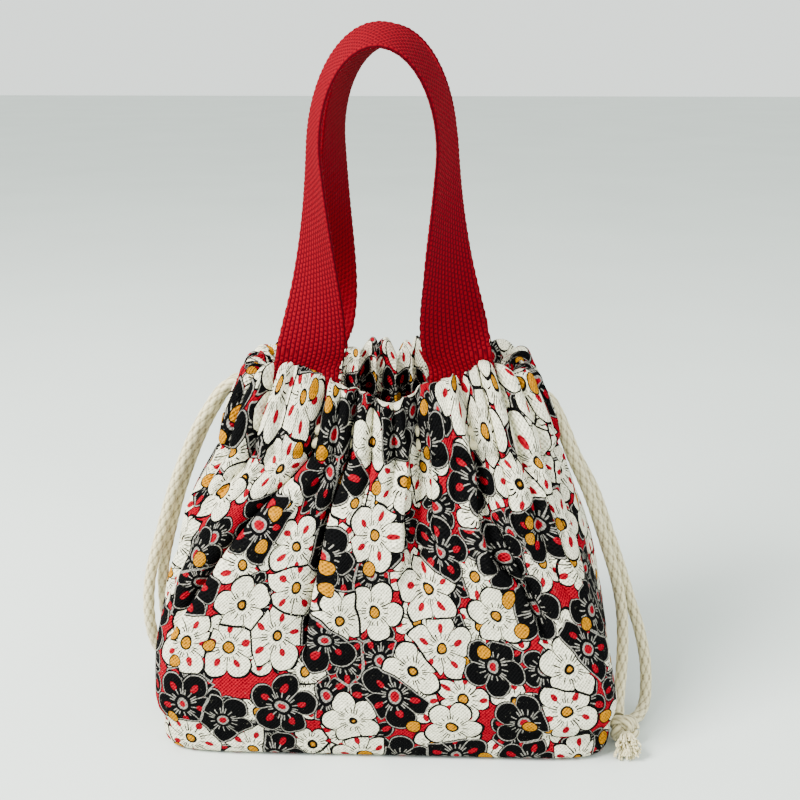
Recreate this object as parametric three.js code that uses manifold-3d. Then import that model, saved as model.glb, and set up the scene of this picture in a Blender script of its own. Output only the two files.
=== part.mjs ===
// Drawstring lunch bag: a canvas bag with a lining, a cord casing gathered round its mouth, two webbing
// handles and two drawcords, each with both of its ends knotted together. Millimetres, +Z up, the front
// towards -Y, with the origin at the middle of the base.
import * as THREE from "three";
import { mergeVertices } from "three/addons/utils/BufferGeometryUtils.js";
import Module from "manifold-3d";

// The bag's outline: full widths along X and depths along Y at five heights
const baseWidth = 210;
const baseDepth = 120;
const bellyHeight = 32;
const bellyWidth = 215;
const bellyDepth = 127;
const shoulderHeight = 100;
const shoulderWidth = 188;
const shoulderDepth = 106;
const neckHeight = 140;
const neckWidth = 150;
const neckDepth = 76;
const rimHeight = 173;
const rimWidth = 128;
const rimDepth = 60;
const baseSquareness = 5; // exponent of the base's outline: 2 is an ellipse, more is squarer
const rimSquareness = 4;
const footRadius = 7;

// Cloth and seams
const canvasThickness = 1.2;
const liningThickness = 0.6;
const seamThickness = 1;
const seamWidth = 12;
const cornerSeamLength = 70;
const clearance = 0.3;

// Creases of the gathered cloth on each half, from left to right. A place is a share of the way from the
// middle of the face to a side seam, at each of the crease heights. A crease deepens upwards from its foot
const creaseHeights = [0, 56, 98, neckHeight];
const frontCreases = [
  { at: [-0.87, -0.84, -0.79, -0.81], depth: 2.2, foot: 74 },
  { at: [-0.71, -0.76, -0.66, -0.6], depth: 2.8, foot: 60 },
  { at: [-0.54, -0.65, -0.52, -0.31], depth: 3.6, foot: 42 },
  { at: [-0.37, -0.42, -0.34, -0.23], depth: 1, foot: 84 },
  { at: [-0.2, -0.21, -0.19, -0.15], depth: 4.2, foot: 44 },
  { at: [-0.02, -0.03, -0.04, -0.02], depth: 1.2, foot: 84 },
  { at: [0.15, 0.14, 0.14, 0.15], depth: 4, foot: 66 },
  { at: [0.33, 0.31, 0.28, 0.29], depth: 1, foot: 84 },
  { at: [0.51, 0.52, 0.39, 0.4], depth: 3.6, foot: 50 },
  { at: [0.68, 0.67, 0.58, 0.6], depth: 2.8, foot: 60 },
  { at: [0.86, 0.8, 0.74, 0.81], depth: 2.2, foot: 66 },
];
const backCreases = [
  { at: [-0.86, -0.81, -0.77, -0.81], depth: 2.2, foot: 70 },
  { at: [-0.68, -0.66, -0.6, -0.59], depth: 2.8, foot: 72 },
  { at: [-0.51, -0.47, -0.38, -0.36], depth: 3, foot: 72 },
  { at: [-0.33, -0.32, -0.27, -0.27], depth: 1.2, foot: 84 },
  { at: [-0.17, -0.17, -0.17, -0.18], depth: 4, foot: 52 },
  { at: [0, 0.03, 0.02, 0.03], depth: 3, foot: 76 },
  { at: [0.16, 0.15, 0.18, 0.2], depth: 3.8, foot: 58 },
  { at: [0.35, 0.38, 0.33, 0.3], depth: 3.4, foot: 52 },
  { at: [0.52, 0.59, 0.43, 0.4], depth: 1.6, foot: 84 },
  { at: [0.7, 0.7, 0.65, 0.61], depth: 2.8, foot: 68 },
  { at: [0.87, 0.85, 0.79, 0.83], depth: 2.2, foot: 64 },
];
const creaseGrowth = 34; // height over which a crease comes to its full depth
const swell = 1.8; // how far the cloth stands out between the creases
const swellFade = 14; // height below the casing over which that fades

// Casing round the mouth, and the cords in it
const casingThickness = 9.8;
const casingMiddle = 106; // width of the middle parts, which the cords draw together
const frontDip = 8; // how far the rim sags between the legs of a handle
const backDip = 3;
const dipWidth = 40;
const sideRise = 6;
const sideRiseWidth = 8;
const slitWidth = 21;
const slitHeight = 10;
const cordDiameter = 5.5;
const exitStraight = 4;
const exitSpread = 1.4; // how much further apart the two strands are before that straight
// Along the way from the joint of the casing to the middle of its side, as shares of it
const turnClimb = [0.1, 0.5]; // where the upper cord climbs over the slit of the lower one
const leadClimb = [0.2, 0.6]; // where a lead climbs to its slit
const leadReach = 0.63; // where a lead turns outwards

// Webbing handles
const webbingWidth = 30;
const webbingThickness = 2;
const handleSpacing = 70; // between the middles of the legs at the rim
const handleInset = 6; // from the rim's outer face to the middle of the webbing
const handleStand = 3; // height of the fold above the rim
const handleHeight = 145; // from the fold to the top of the arch, along the handle
const archSpan = 54;
const archRise = 48;
const handleLean = 11; // degrees outwards
const flatLength = 8; // height over which a leg stays flat
const twistLength = 52; // height over which it then turns edge-on
const legShare = 0.3; // of the webbing's run, in each leg
const legCurve = 3.2; // how soon a leg has drawn in from the spacing at the rim to the arch's span
const frontHandleX = -1;
const backHandleX = -1;

// Knots and tassels
const knotDiameter = 15;
const knotEnd = 8.2; // diameter of the knot's flat ends
const knotLength = 13;
const tasselLength = 10.5;
const tasselRoot = 3;
const tasselFlare = 5.2;
const tasselFall = 0.7;

// Points that each free strand passes through, from the casing down to its knot
const leftKnot = new THREE.Vector3(-117, 27, 7.7);
const rightKnot = new THREE.Vector3(110.5, -42, 7.7);
const leftFrontRoute = [
  [-68.6, -3.2, 163.5], [-72.2, -3.2, 163.7], [-77.6, -3.2, 160.3], [-84.5, -3.2, 151], [-92, -3.1, 138],
  [-103.3, -3, 111.4], [-111.2, -3, 87], [-118, -2.6, 64], [-120.6, -1, 46], [-121.3, 3, 31],
  [-120.9, 8.4, 19.5], [-120, 14, 12.8], [-119.6, 21, 10],
];
const leftBackRoute = [
  [-68.6, 3.2, 163.5], [-71.9, 3.2, 163.4], [-76.6, 3.2, 159.6], [-82.6, 3.2, 150.6], [-89.7, 3.2, 137.6],
  [-100.4, 3.2, 111.2], [-107.8, 3.3, 87], [-113.2, 3.7, 64], [-114.6, 6, 46], [-114.7, 9.4, 31],
  [-114.3, 12.6, 18.6], [-113.7, 15.4, 10.4], [-113.6, 21, 6.4],
];
const rightFrontRoute = [
  [70.5, -3.2, 157.5], [74.2, -3.2, 156], [78.2, -3.2, 149.8], [82.2, -3.2, 140], [86.8, -3.2, 128.6],
  [95, -3.2, 111], [104.4, -3.2, 84.8], [110.6, -3.5, 65.7], [113.4, -7, 52], [114, -12.8, 38],
  [113, -20.4, 26], [111.3, -28, 16.4], [110, -36, 11],
];
const rightBackRoute = [
  [70.5, 3.2, 157.5], [74.4, 3.2, 156.1], [78.8, 3.2, 149.8], [83.6, 3.2, 139.6], [88.4, 3.2, 128.4],
  [98, 3.2, 110.6], [107.8, 3, 84.5], [114.4, 2.6, 66], [118.8, 0.8, 52.5], [123.4, -1.8, 39],
  [126.6, -6, 24.5], [126.9, -11.8, 13.4], [125.4, -18.8, 7.4], [121.8, -26.2, 5.2], [117.4, -31.6, 5.1],
  [115, -36, 5.8],
];

// Mesh detail
const creaseColumns = 3; // from one crease to the next
const wallRows = [0.1, 0.3, 0.45, 0.58, 0.7, 0.8, 0.9, 1]; // shares of the wall's height
const casingStep = 6.6;
const cordSides = 8;
const cordStep = 2.5; // in diameters, on a free strand
const runStep = 1.5; // and inside the casing
const turnStep = 0.8;
const casingPoints = 16;
const outlinePoints = 720;
const turnSides = 16;
const handleSteps = 48;

const wasm = await Module();
wasm.setup();

const bag = new THREE.Group();
const finishes = {
  canvas: new THREE.MeshStandardMaterial({ color: 0xebe8de, roughness: 0.9 }),
  lining: new THREE.MeshStandardMaterial({ color: 0xe6dfd0, roughness: 0.9 }),
  webbing: new THREE.MeshStandardMaterial({ color: 0xb11226, roughness: 0.8 }),
  cord: new THREE.MeshStandardMaterial({ color: 0xd9cdb4, roughness: 0.9 }),
};

function add(name, geometry, finish) {
  const mesh = new THREE.Mesh(geometry, finish);
  mesh.name = name;
  bag.add(mesh);
}

const vector = (point) => new THREE.Vector3(...point);

function spread(from, to, count) {
  return [...Array(count + 1).keys()].map((i) => THREE.MathUtils.lerp(from, to, i / count));
}

// A smooth curve through values at given heights, with no slope at its lowest one
function throughHeights(heights, values, z) {
  const slopeAt = (i) => {
    if (i === 0) return 0;
    const next = Math.min(i + 1, heights.length - 1);
    return (values[next] - values[i - 1]) / (heights[next] - heights[i - 1]);
  };
  let i = 0;
  while (i < heights.length - 2 && z > heights[i + 1]) i++;
  const span = heights[i + 1] - heights[i];
  const t = (z - heights[i]) / span;
  const fromEnds = THREE.MathUtils.lerp(values[i], values[i + 1], 3 * t ** 2 - 2 * t ** 3);
  return fromEnds + span * (slopeAt(i) * (t ** 3 - 2 * t ** 2 + t) + slopeAt(i + 1) * (t ** 3 - t ** 2));
}

// The bag's outline at one height: points from its left side round by the front, and the length up to each
const outlines = new Map();
function outlineAt(z) {
  const key = z.toFixed(4);
  if (outlines.has(key)) return outlines.get(key);
  const heights = [0, bellyHeight, shoulderHeight, neckHeight, rimHeight];
  const width = throughHeights(heights, [baseWidth, bellyWidth, shoulderWidth, neckWidth, rimWidth], z);
  const depth = throughHeights(heights, [baseDepth, bellyDepth, shoulderDepth, neckDepth, rimDepth], z);
  const power = 2 / THREE.MathUtils.mapLinear(z, 0, rimHeight, baseSquareness, rimSquareness);
  const points = [];
  const lengths = [0];
  for (let i = 0; i <= outlinePoints; i++) {
    const angle = Math.PI + (i / outlinePoints) * 2 * Math.PI;
    const across = Math.cos(angle);
    const along = Math.sin(angle);
    points.push(new THREE.Vector2(
      (width / 2) * Math.sign(across) * Math.abs(across) ** power,
      (depth / 2) * Math.sign(along) * Math.abs(along) ** power,
    ));
    if (i) lengths.push(lengths[i - 1] + points[i].distanceTo(points[i - 1]));
  }
  outlines.set(key, { points, lengths });
  return outlines.get(key);
}

const lengthRound = (z) => outlineAt(z).lengths.at(-1);

// A point of the outline at a share of the way round: left side 0, front 0.25, right side 0.5, back 0.75
function onOutline(z, share) {
  const { points, lengths } = outlineAt(z);
  const target = (((share % 1) + 1) % 1) * lengths.at(-1);
  let low = 0;
  let high = lengths.length - 1;
  while (high - low > 1) {
    const middle = (low + high) >> 1;
    if (lengths[middle] <= target) low = middle;
    else high = middle;
  }
  const part = (target - lengths[low]) / (lengths[high] - lengths[low]);
  return points[low].clone().lerp(points[high], part);
}

// The outward direction of the outline, level with the floor
function outwardAt(z, share) {
  const step = 2 / lengthRound(z);
  const run = onOutline(z, share + step).sub(onOutline(z, share - step)).normalize();
  return new THREE.Vector2(run.y, -run.x);
}

// A point of the plain wall, moved inwards by its inset
function onWall(z, share, inset) {
  const point = onOutline(z, share).addScaledVector(outwardAt(z, share), -inset);
  return new THREE.Vector3(point.x, point.y, z);
}

// The creases of one half at a height, with its side seams as the first and the last
function creasesAt(back, z) {
  const creases = (back ? backCreases : frontCreases).map(({ at, depth, foot }) => ({
    place: throughHeights(creaseHeights, at, z),
    depth: depth * THREE.MathUtils.smoothstep(z, foot, foot + creaseGrowth),
  }));
  return [{ place: -1, depth: 0 }, ...creases, { place: 1, depth: 0 }];
}

// How far the cloth stands out of the plain wall at a share of the way round
function standOut(z, share) {
  const round = ((share % 1) + 1) % 1;
  const back = round > 0.5;
  const place = back ? 3 - 4 * round : 4 * round - 1;
  const creases = creasesAt(back, z);
  const next = Math.max(1, creases.findIndex((crease) => crease.place >= place));
  const [before, after] = [creases[next - 1], creases[next]];
  const part = (place - before.place) / (after.place - before.place);
  const depth = THREE.MathUtils.lerp(before.depth, after.depth, part);
  const full = swell * THREE.MathUtils.smoothstep(z, bellyHeight, shoulderHeight);
  const atTop = THREE.MathUtils.smoothstep(z, neckHeight - swellFade, neckHeight);
  const bySeam = THREE.MathUtils.smoothstep(Math.abs(place), 0.7, 0.9);
  return Math.sin(Math.PI * part) ** 0.7 * (depth + full * (1 - atTop) * (1 - bySeam)) - depth;
}

// A point of the creased wall. Each layer of cloth follows the creases
function onCreases(z, share, inset) {
  const at = (s) => onOutline(z, s).addScaledVector(outwardAt(z, s), standOut(z, s));
  const step = 1.2 / lengthRound(z);
  const run = at(share + step).sub(at(share - step)).normalize();
  const point = at(share).addScaledVector(new THREE.Vector2(run.y, -run.x), -inset);
  return new THREE.Vector3(point.x, point.y, z);
}

// A closed geometry from points and triangles, with equal points joined and its faces turned outwards
function closed(points, triangles) {
  const places = new Map();
  const corners = [];
  const cornerOf = points.map((p) => {
    const key = [p.x, p.y, p.z].map((v) => Math.round(v * 500)).join();
    if (!places.has(key)) {
      places.set(key, corners.length);
      corners.push(p);
    }
    return places.get(key);
  });
  let faces = triangles.map((t) => t.map((i) => cornerOf[i]));
  faces = faces.filter(([a, b, c]) => a !== b && b !== c && c !== a);
  const boxProduct = ([a, b, c]) => corners[a].dot(corners[b].clone().cross(corners[c]));
  const volume = faces.reduce((sum, face) => sum + boxProduct(face), 0);
  if (volume < 0) faces = faces.map(([a, b, c]) => [a, c, b]);
  return new THREE.BufferGeometry().setFromPoints(corners).setIndex(faces.flat());
}

// Cloth between an outer and an inner grid of points, closed along its four edges
function cloth(outer, inner) {
  const rows = outer.length;
  const columns = outer[0].length;
  const points = [...outer.flat(), ...inner.flat()];
  const far = rows * columns;
  const triangles = [];
  const face = (a, b, c, d) => triangles.push([a, b, c], [a, c, d]);
  for (let i = 0; i < rows - 1; i++) {
    for (let j = 0; j < columns - 1; j++) {
      const a = i * columns + j;
      face(a, a + 1, a + columns + 1, a + columns);
      face(far + a, far + a + columns, far + a + columns + 1, far + a + 1);
    }
  }
  for (let j = 0; j < columns - 1; j++) {
    const top = (rows - 1) * columns + j;
    face(j, far + j, far + j + 1, j + 1);
    face(top, top + 1, far + top + 1, far + top);
  }
  for (let i = 0; i < rows - 1; i++) {
    const left = i * columns;
    const right = left + columns - 1;
    face(left, left + columns, far + left + columns, far + left);
    face(right, far + right, far + right + columns, right + columns);
  }
  return closed(points, triangles);
}

// A solid through rings of as many points each, closed at both ends. Its flat outline turns left
function loft(rings, flatOutline) {
  const sides = rings[0].length;
  const triangles = [];
  for (let i = 0; i < rings.length - 1; i++) {
    for (let j = 0; j < sides; j++) {
      const a = i * sides + j;
      const b = i * sides + ((j + 1) % sides);
      triangles.push([a, b, b + sides], [a, b + sides, a + sides]);
    }
  }
  const last = (rings.length - 1) * sides;
  for (const [a, b, c] of THREE.ShapeUtils.triangulateShape(flatOutline, [])) {
    triangles.push([a, c, b], [last + a, last + b, last + c]);
  }
  return closed(rings.flat(), triangles);
}

// Cuts and joins
function solidOf(geometry) {
  const bare = new THREE.BufferGeometry().setIndex(geometry.index);
  bare.setAttribute("position", geometry.getAttribute("position").clone());
  const merged = mergeVertices(bare, 1e-3);
  return new wasm.Manifold(new wasm.Mesh({
    numProp: 3,
    vertProperties: merged.attributes.position.array,
    triVerts: new Uint32Array(merged.index.array),
  }));
}

function geometryOf(solid) {
  const mesh = solid.getMesh();
  return new THREE.BufferGeometry()
    .setAttribute("position", new THREE.BufferAttribute(mesh.vertProperties, 3))
    .setIndex(new THREE.BufferAttribute(mesh.triVerts, 1));
}

const cut = (geometry, ...tools) =>
  geometryOf(tools.reduce((solid, tool) => solid.subtract(solidOf(tool)), solidOf(geometry)));
const common = (geometry, tool) => geometryOf(solidOf(geometry).intersect(solidOf(tool)));

function box(low, high) {
  const size = vector(high).sub(vector(low));
  const middle = vector(low).lerp(vector(high), 0.5);
  return new THREE.BoxGeometry(size.x, size.y, size.z).translate(middle.x, middle.y, middle.z);
}

// A stretch of drawcord through points, with rings a number of diameters apart
function tube(points, step) {
  const extrudePath = new THREE.CatmullRomCurve3(points, false, "centripetal");
  const steps = Math.ceil(extrudePath.getLength() / (step * cordDiameter));
  const circle = new THREE.Path().absarc(0, 0, cordDiameter / 2, 0, 2 * Math.PI).getSpacedPoints(cordSides);
  const section = new THREE.Shape(circle.slice(0, -1));
  return new THREE.ExtrudeGeometry(section, { steps, extrudePath, bevelEnabled: false });
}

// Insets of the layers from the bag's outer face
const seamInset = canvasThickness + clearance;
const liningInset = seamInset + seamThickness + clearance;
const insideInset = liningInset + liningThickness;
const bodyTop = neckHeight - clearance;
const wallHeights = wallRows.map((part) => part * bodyTop);

// The shares of the way round at the columns of one half, from left to right: at its creases and evenly
// between them. The halves lie a clearance apart
function columnsAt(back, z) {
  const edge = 1 - (2 * clearance) / lengthRound(z);
  const creases = creasesAt(back, z).map(({ place }) => THREE.MathUtils.clamp(place, -edge, edge));
  const places = creases.slice(1).flatMap((place, i) => spread(creases[i], place, creaseColumns).slice(1));
  return [creases[0], ...places].map((place) => (back ? 3 - place : 1 + place) / 4);
}

// Half of a layer of the bag: the base from the bottom seam outwards, the rounded foot and the creased wall
function panelPoints(back, inset) {
  const grid = [];
  const row = (z, at) => columnsAt(back, z).map((share) => onCreases(z, share, at));
  const foot = row(0, inset + footRadius);
  for (const part of [0, 1]) {
    grid.push(foot.map((p) => {
      const seam = (back ? 1 : -1) * (clearance / 2);
      return new THREE.Vector3(p.x, THREE.MathUtils.lerp(seam, p.y, part), inset);
    }));
  }
  for (const turn of [Math.PI / 4, Math.PI / 2]) {
    const z = inset + footRadius * (1 - Math.cos(turn));
    grid.push(row(z, inset + footRadius * (1 - Math.sin(turn))));
  }
  for (const z of wallHeights) grid.push(row(z, inset));
  return grid;
}

function addPanels() {
  for (const [side, back] of [["front", false], ["back", true]]) {
    const layer = (outside, inside) => cloth(panelPoints(back, outside), panelPoints(back, inside));
    add("outer_" + side, layer(0, canvasThickness), finishes.canvas);
    add("lining_" + side, layer(liningInset, insideInset), finishes.lining);
  }
}

// Seam allowances: strips pressed flat between the canvas and the lining
function addSeams() {
  const strip = (name, share) => {
    const grid = (inset) => wallHeights.map((z) => {
      const middle = onCreases(z, share, inset);
      const edge = (back) => {
        const beside = onCreases(z, columnsAt(back, z).at(share ? -2 : 1), inset);
        return middle.clone().lerp(beside, Math.min(seamWidth / 2 / middle.distanceTo(beside), 1));
      };
      return [edge(false), middle, edge(true)];
    });
    add(name, cloth(grid(seamInset), grid(seamInset + seamThickness)), finishes.canvas);
  };
  strip("side_seam_left", 0);
  strip("side_seam_right", 0.5);
  const low = seamInset;
  const high = seamInset + seamThickness;
  const cornerReach = baseWidth / 2 - footRadius - liningInset;
  const corner = cornerReach - seamWidth;
  const cornerHalf = cornerSeamLength / 2;
  const seamEnd = corner - clearance;
  add("bottom_seam", box([-seamEnd, -seamWidth / 2, low], [seamEnd, seamWidth / 2, high]), finishes.canvas);
  const across = (from, to) => box([from, -cornerHalf, low], [to, cornerHalf, high]);
  add("corner_seam_left", across(-cornerReach, -corner), finishes.canvas);
  add("corner_seam_right", across(corner, cornerReach), finishes.canvas);
}

// Height of the rim: it sags between the legs of each handle and rises at the sides
function rimTop(x, y) {
  const dip = y < 0 ? frontDip : backDip;
  const sag = Math.abs(x) < dipWidth / 2 ? dip * Math.cos((Math.PI * x) / dipWidth) ** 2 : 0;
  const start = casingMiddle / 2;
  return rimHeight - sag + sideRise * THREE.MathUtils.smoothstep(Math.abs(x), start, start + sideRiseWidth);
}

// A point of the casing, whose wall runs straight from the neck up to the rim
function onCasing(z, share, inset) {
  const plan = onOutline(rimHeight, share);
  const top = rimTop(plan.x, plan.y);
  const low = onWall(neckHeight, share, inset);
  const high = onWall(rimHeight, share, inset).setZ(top);
  return low.lerp(high, (z - neckHeight) / (top - neckHeight));
}

// A band round the mouth between two shares of the way round. Its section is a list of insets and heights.
// A height of 0 is the casing's foot and 1 the rim, and the third number is added to it in millimetres
function band(from, to, section) {
  const steps = Math.ceil(((to - from) * lengthRound(neckHeight)) / casingStep);
  const rings = [];
  for (let i = 0; i <= steps; i++) {
    const share = THREE.MathUtils.lerp(from, to, i / steps);
    const plan = onOutline(rimHeight, share);
    const top = rimTop(plan.x, plan.y);
    rings.push(section.map(([inset, part, more]) => {
      const height = THREE.MathUtils.lerp(neckHeight, top, part) + more;
      return onCasing(height, share, inset);
    }));
  }
  const flat = section.map(([inset, part, more]) => new THREE.Vector2(inset, part * rimHeight + more));
  return loft(rings, flat);
}

// How far the bands go round from the middle of a face or side before they are cut at the joint
const faceReach = 0.22;
const sideReach = 0.14;
const sidePast = 0.02; // by which the channel runs out of its band's ends

const wall = canvasThickness;
const outerSection = [[0, 0, 0], [wall, 0, 0], [wall, 1, 0], [0, 1, 0]];
const facingInset = wall + clearance;
const facingSection = [
  [facingInset, 0, 0], [casingThickness, 0, 0], [casingThickness, 1, 0], [facingInset, 1, 0],
  [facingInset, 1, -wall], [casingThickness - wall, 1, -wall],
  [casingThickness - wall, 0, wall], [facingInset, 0, wall],
];
const wholeSection = [[0, 0, 0], [casingThickness, 0, 0], [casingThickness, 1, 0], [0, 1, 0]];
const channelSection = [
  [wall, 0, wall], [casingThickness - wall, 0, wall], [casingThickness - wall, 1, -wall], [wall, 1, -wall],
];

// Where the handles come out of the rim
const handleY = rimDepth / 2 - handleInset;
const foldHeight = rimHeight + handleStand;
const legMiddles = [-handleSpacing / 2, handleSpacing / 2];

// Heights of the two cords inside the casing, one above the other
const lowCord = neckHeight + wall + clearance + cordDiameter / 2;
const highCord = lowCord + cordDiameter + clearance;
const handleEndFoot = highCord + cordDiameter / 2 + clearance;

// Boxes round what lies between the two planes where the casing's middle parts meet its side parts
const middleBox = (half) => box([-half, -bellyWidth, 0], [half, bellyWidth, 2 * rimHeight]);
const insideMiddle = (geometry) => common(geometry, middleBox((casingMiddle - clearance) / 2));
const outsideMiddle = (geometry, ...tools) =>
  cut(geometry, middleBox((casingMiddle + clearance) / 2), ...tools);
// A box round what lies further from the bag's middle than a plane at x
const beyond = (x) => {
  const far = Math.sign(x) * 2 * bellyWidth;
  return box([Math.min(x, far), -bellyWidth, 0], [Math.max(x, far), bellyWidth, 2 * rimHeight]);
};

function addCasings() {
  for (const [side, sign, centre] of [["front", -1, 0.25], ["back", 1, 0.75]]) {
    const handleX = sign < 0 ? frontHandleX : backHandleX;
    const slots = legMiddles.map((x) => {
      const across = webbingWidth / 2 + clearance;
      const thick = webbingThickness / 2 + clearance;
      return box(
        [handleX + x - across, sign * handleY - thick, handleEndFoot],
        [handleX + x + across, sign * handleY + thick, 2 * rimHeight],
      );
    });
    const facePart = (section) => insideMiddle(band(centre - faceReach, centre + faceReach, section));
    add("casing_" + side, facePart(outerSection), finishes.canvas);
    add("facing_" + side, cut(facePart(facingSection), ...slots), finishes.canvas);
  }
  for (const [side, centre, exit] of [["left", 0, leftFrontRoute[0]], ["right", 0.5, rightFrontRoute[0]]]) {
    const whole = band(centre - sideReach, centre + sideReach, wholeSection);
    const channelReach = sideReach + sidePast;
    const channel = band(centre - channelReach, centre + channelReach, channelSection);
    const height = exit[2];
    const inChannel = inMiddle(centre, height).x;
    const outside = Math.sign(inChannel) * neckWidth;
    const slit = box(
      [Math.min(inChannel, outside), -slitWidth / 2, height - slitHeight / 2],
      [Math.max(inChannel, outside), slitWidth / 2, height + slitHeight / 2],
    );
    add("casing_side_" + side, outsideMiddle(whole, channel, slit), finishes.canvas);
  }
}

// A stretch of drawcord inside the casing, through points given by a share of the way round and a height
const inMiddle = (share, z) => onCasing(z, share, casingThickness / 2);
const inCasing = (places, step) => tube(places.map(([share, z]) => inMiddle(share, z)), step);

// The share of the way round, from the left side to the front, where the casing's middle passes a given X
function shareAt(x, z) {
  let low = 0;
  let high = 0.25;
  while (high - low > 1e-6) {
    const middle = (low + high) / 2;
    if (inMiddle(middle, z).x < x) low = middle;
    else high = middle;
  }
  return low;
}

// The way from the joint to the middle of a side, as a share of the way round
const sideWay = (z) => shareAt(cordDiameter - casingMiddle / 2, z);

// A cord's stretch through a middle part
function runOfCord(from, z) {
  const start = shareAt(-casingMiddle / 2 - cordDiameter, z);
  const places = spread(from + start, from + 0.5 - start, casingPoints).map((share) => [share, z]);
  return insideMiddle(inCasing(places, runStep));
}

// A cord's stretch round a side, from one joint to the other, climbing by a lift in the middle
function turnOfCord(side, z, lift) {
  const way = sideWay(z);
  const places = spread(-1, 1, casingPoints).map((part) => {
    const rise = lift * THREE.MathUtils.smoothstep(1 - Math.abs(part), ...turnClimb);
    return [side + part * way, z + rise];
  });
  return outsideMiddle(inCasing(places, turnStep));
}

// A cord's stretch from a joint to the slit in a side, where its free strand begins
function leadOfCord(side, direction, z, route) {
  const way = direction * sideWay(z);
  const exit = vector(route[0]);
  const outwards = Math.sign(exit.x);
  const points = spread(0, leadReach, casingPoints / 2).map((part) => {
    const height = THREE.MathUtils.lerp(z, exit.z, THREE.MathUtils.smoothstep(part, ...leadClimb));
    return inMiddle(side + way * (1 - part), height);
  });
  points.push(new THREE.Vector3(exit.x - outwards * exitStraight, exit.y * exitSpread, exit.z));
  points.push(new THREE.Vector3(exit.x + outwards * clearance, exit.y, exit.z));
  return outsideMiddle(tube(points, turnStep), beyond(exit.x - outwards * clearance));
}

function addCordsInCasing() {
  for (const [name, z] of [["left_cord", highCord], ["right_cord", lowCord]]) {
    add(name + "_front_run", runOfCord(0, z), finishes.cord);
    add(name + "_back_run", runOfCord(0.5, z), finishes.cord);
  }
  const highest = rimHeight - wall - clearance - cordDiameter / 2;
  add("right_cord_turn", turnOfCord(0, lowCord, 0), finishes.cord);
  add("left_cord_turn", turnOfCord(0.5, highCord, highest - highCord), finishes.cord);
  add("left_cord_front_lead", leadOfCord(0, 1, highCord, leftFrontRoute), finishes.cord);
  add("left_cord_back_lead", leadOfCord(0, -1, highCord, leftBackRoute), finishes.cord);
  add("right_cord_front_lead", leadOfCord(0.5, -1, lowCord, rightFrontRoute), finishes.cord);
  add("right_cord_back_lead", leadOfCord(0.5, 1, lowCord, rightBackRoute), finishes.cord);
}

// Each free strand runs from its slit to the face of its knot
function addStrands() {
  const strand = (name, route, knot, backwards) => {
    const face = knot.y - backwards * (knotLength / 2 + clearance);
    const far = face + backwards * bellyDepth;
    const atKnot = box([-bellyWidth, Math.min(face, far), 0], [bellyWidth, Math.max(face, far), rimHeight]);
    add(name, cut(common(tube(route.map(vector), cordStep), beyond(route[0][0])), atKnot), finishes.cord);
  };
  strand("left_front_strand", leftFrontRoute, leftKnot, 1);
  strand("left_back_strand", leftBackRoute, leftKnot, 1);
  strand("right_front_strand", rightFrontRoute, rightKnot, -1);
  strand("right_back_strand", rightBackRoute, rightKnot, -1);
}

// A turned body round an axis that points along a direction, with its middle at a place
function turned(profile, middle, direction) {
  const geometry = new THREE.LatheGeometry(profile.map(([r, y]) => new THREE.Vector2(r, y)), turnSides);
  const up = new THREE.Vector3(0, 1, 0);
  const turn = new THREE.Quaternion().setFromUnitVectors(up, direction.clone().normalize());
  return geometry.applyQuaternion(turn).translate(middle.x, middle.y, middle.z);
}

// Each cord's two ends in one round knot with flat ends, and the frayed tassel beyond it
function addKnots() {
  const half = knotLength / 2;
  const swell = (knotDiameter - knotEnd) / 2;
  const bulge = (angle) => [knotEnd / 2 + swell * Math.cos(angle), half * Math.sin(angle)];
  const knotProfile = [[0, -half], ...spread(-Math.PI / 2, Math.PI / 2, 6).map(bulge), [0, half]];
  const tasselProfile = [[0, 0], [tasselRoot, 0], [tasselFlare, tasselLength], [0, tasselLength]];
  const lowest = tasselFlare + clearance;
  for (const [side, knot, backwards] of [["left", leftKnot, 1], ["right", rightKnot, -1]]) {
    add(side + "_knot", turned(knotProfile, knot, new THREE.Vector3(0, backwards, 0)), finishes.cord);
    const root = new THREE.Vector3(knot.x, knot.y + backwards * (half + clearance), lowest + tasselFall);
    const tip = new THREE.Vector3(knot.x, root.y + backwards * tasselLength, lowest);
    add(side + "_tassel", turned(tasselProfile, root, tip.sub(root)), finishes.cord);
  }
}

// The middle line of a handle in its own plane: x across, v up from the fold, and the direction it runs in
function handleLine(t) {
  const straight = handleHeight - archRise;
  const bottom = handleSpacing / 2;
  const top = archSpan / 2;
  if (t < legShare || t > 1 - legShare) {
    const part = t < legShare ? t / legShare : (1 - t) / legShare;
    const side = t < legShare ? -1 : 1;
    const v = straight * part;
    return { x: side * (top + (bottom - top) * Math.exp(-legCurve * part) * (1 - part)), v };
  }
  const angle = Math.PI * (1 - (t - legShare) / (1 - 2 * legShare));
  return { x: top * Math.cos(angle), v: straight + archRise * Math.sin(angle) };
}

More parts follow.
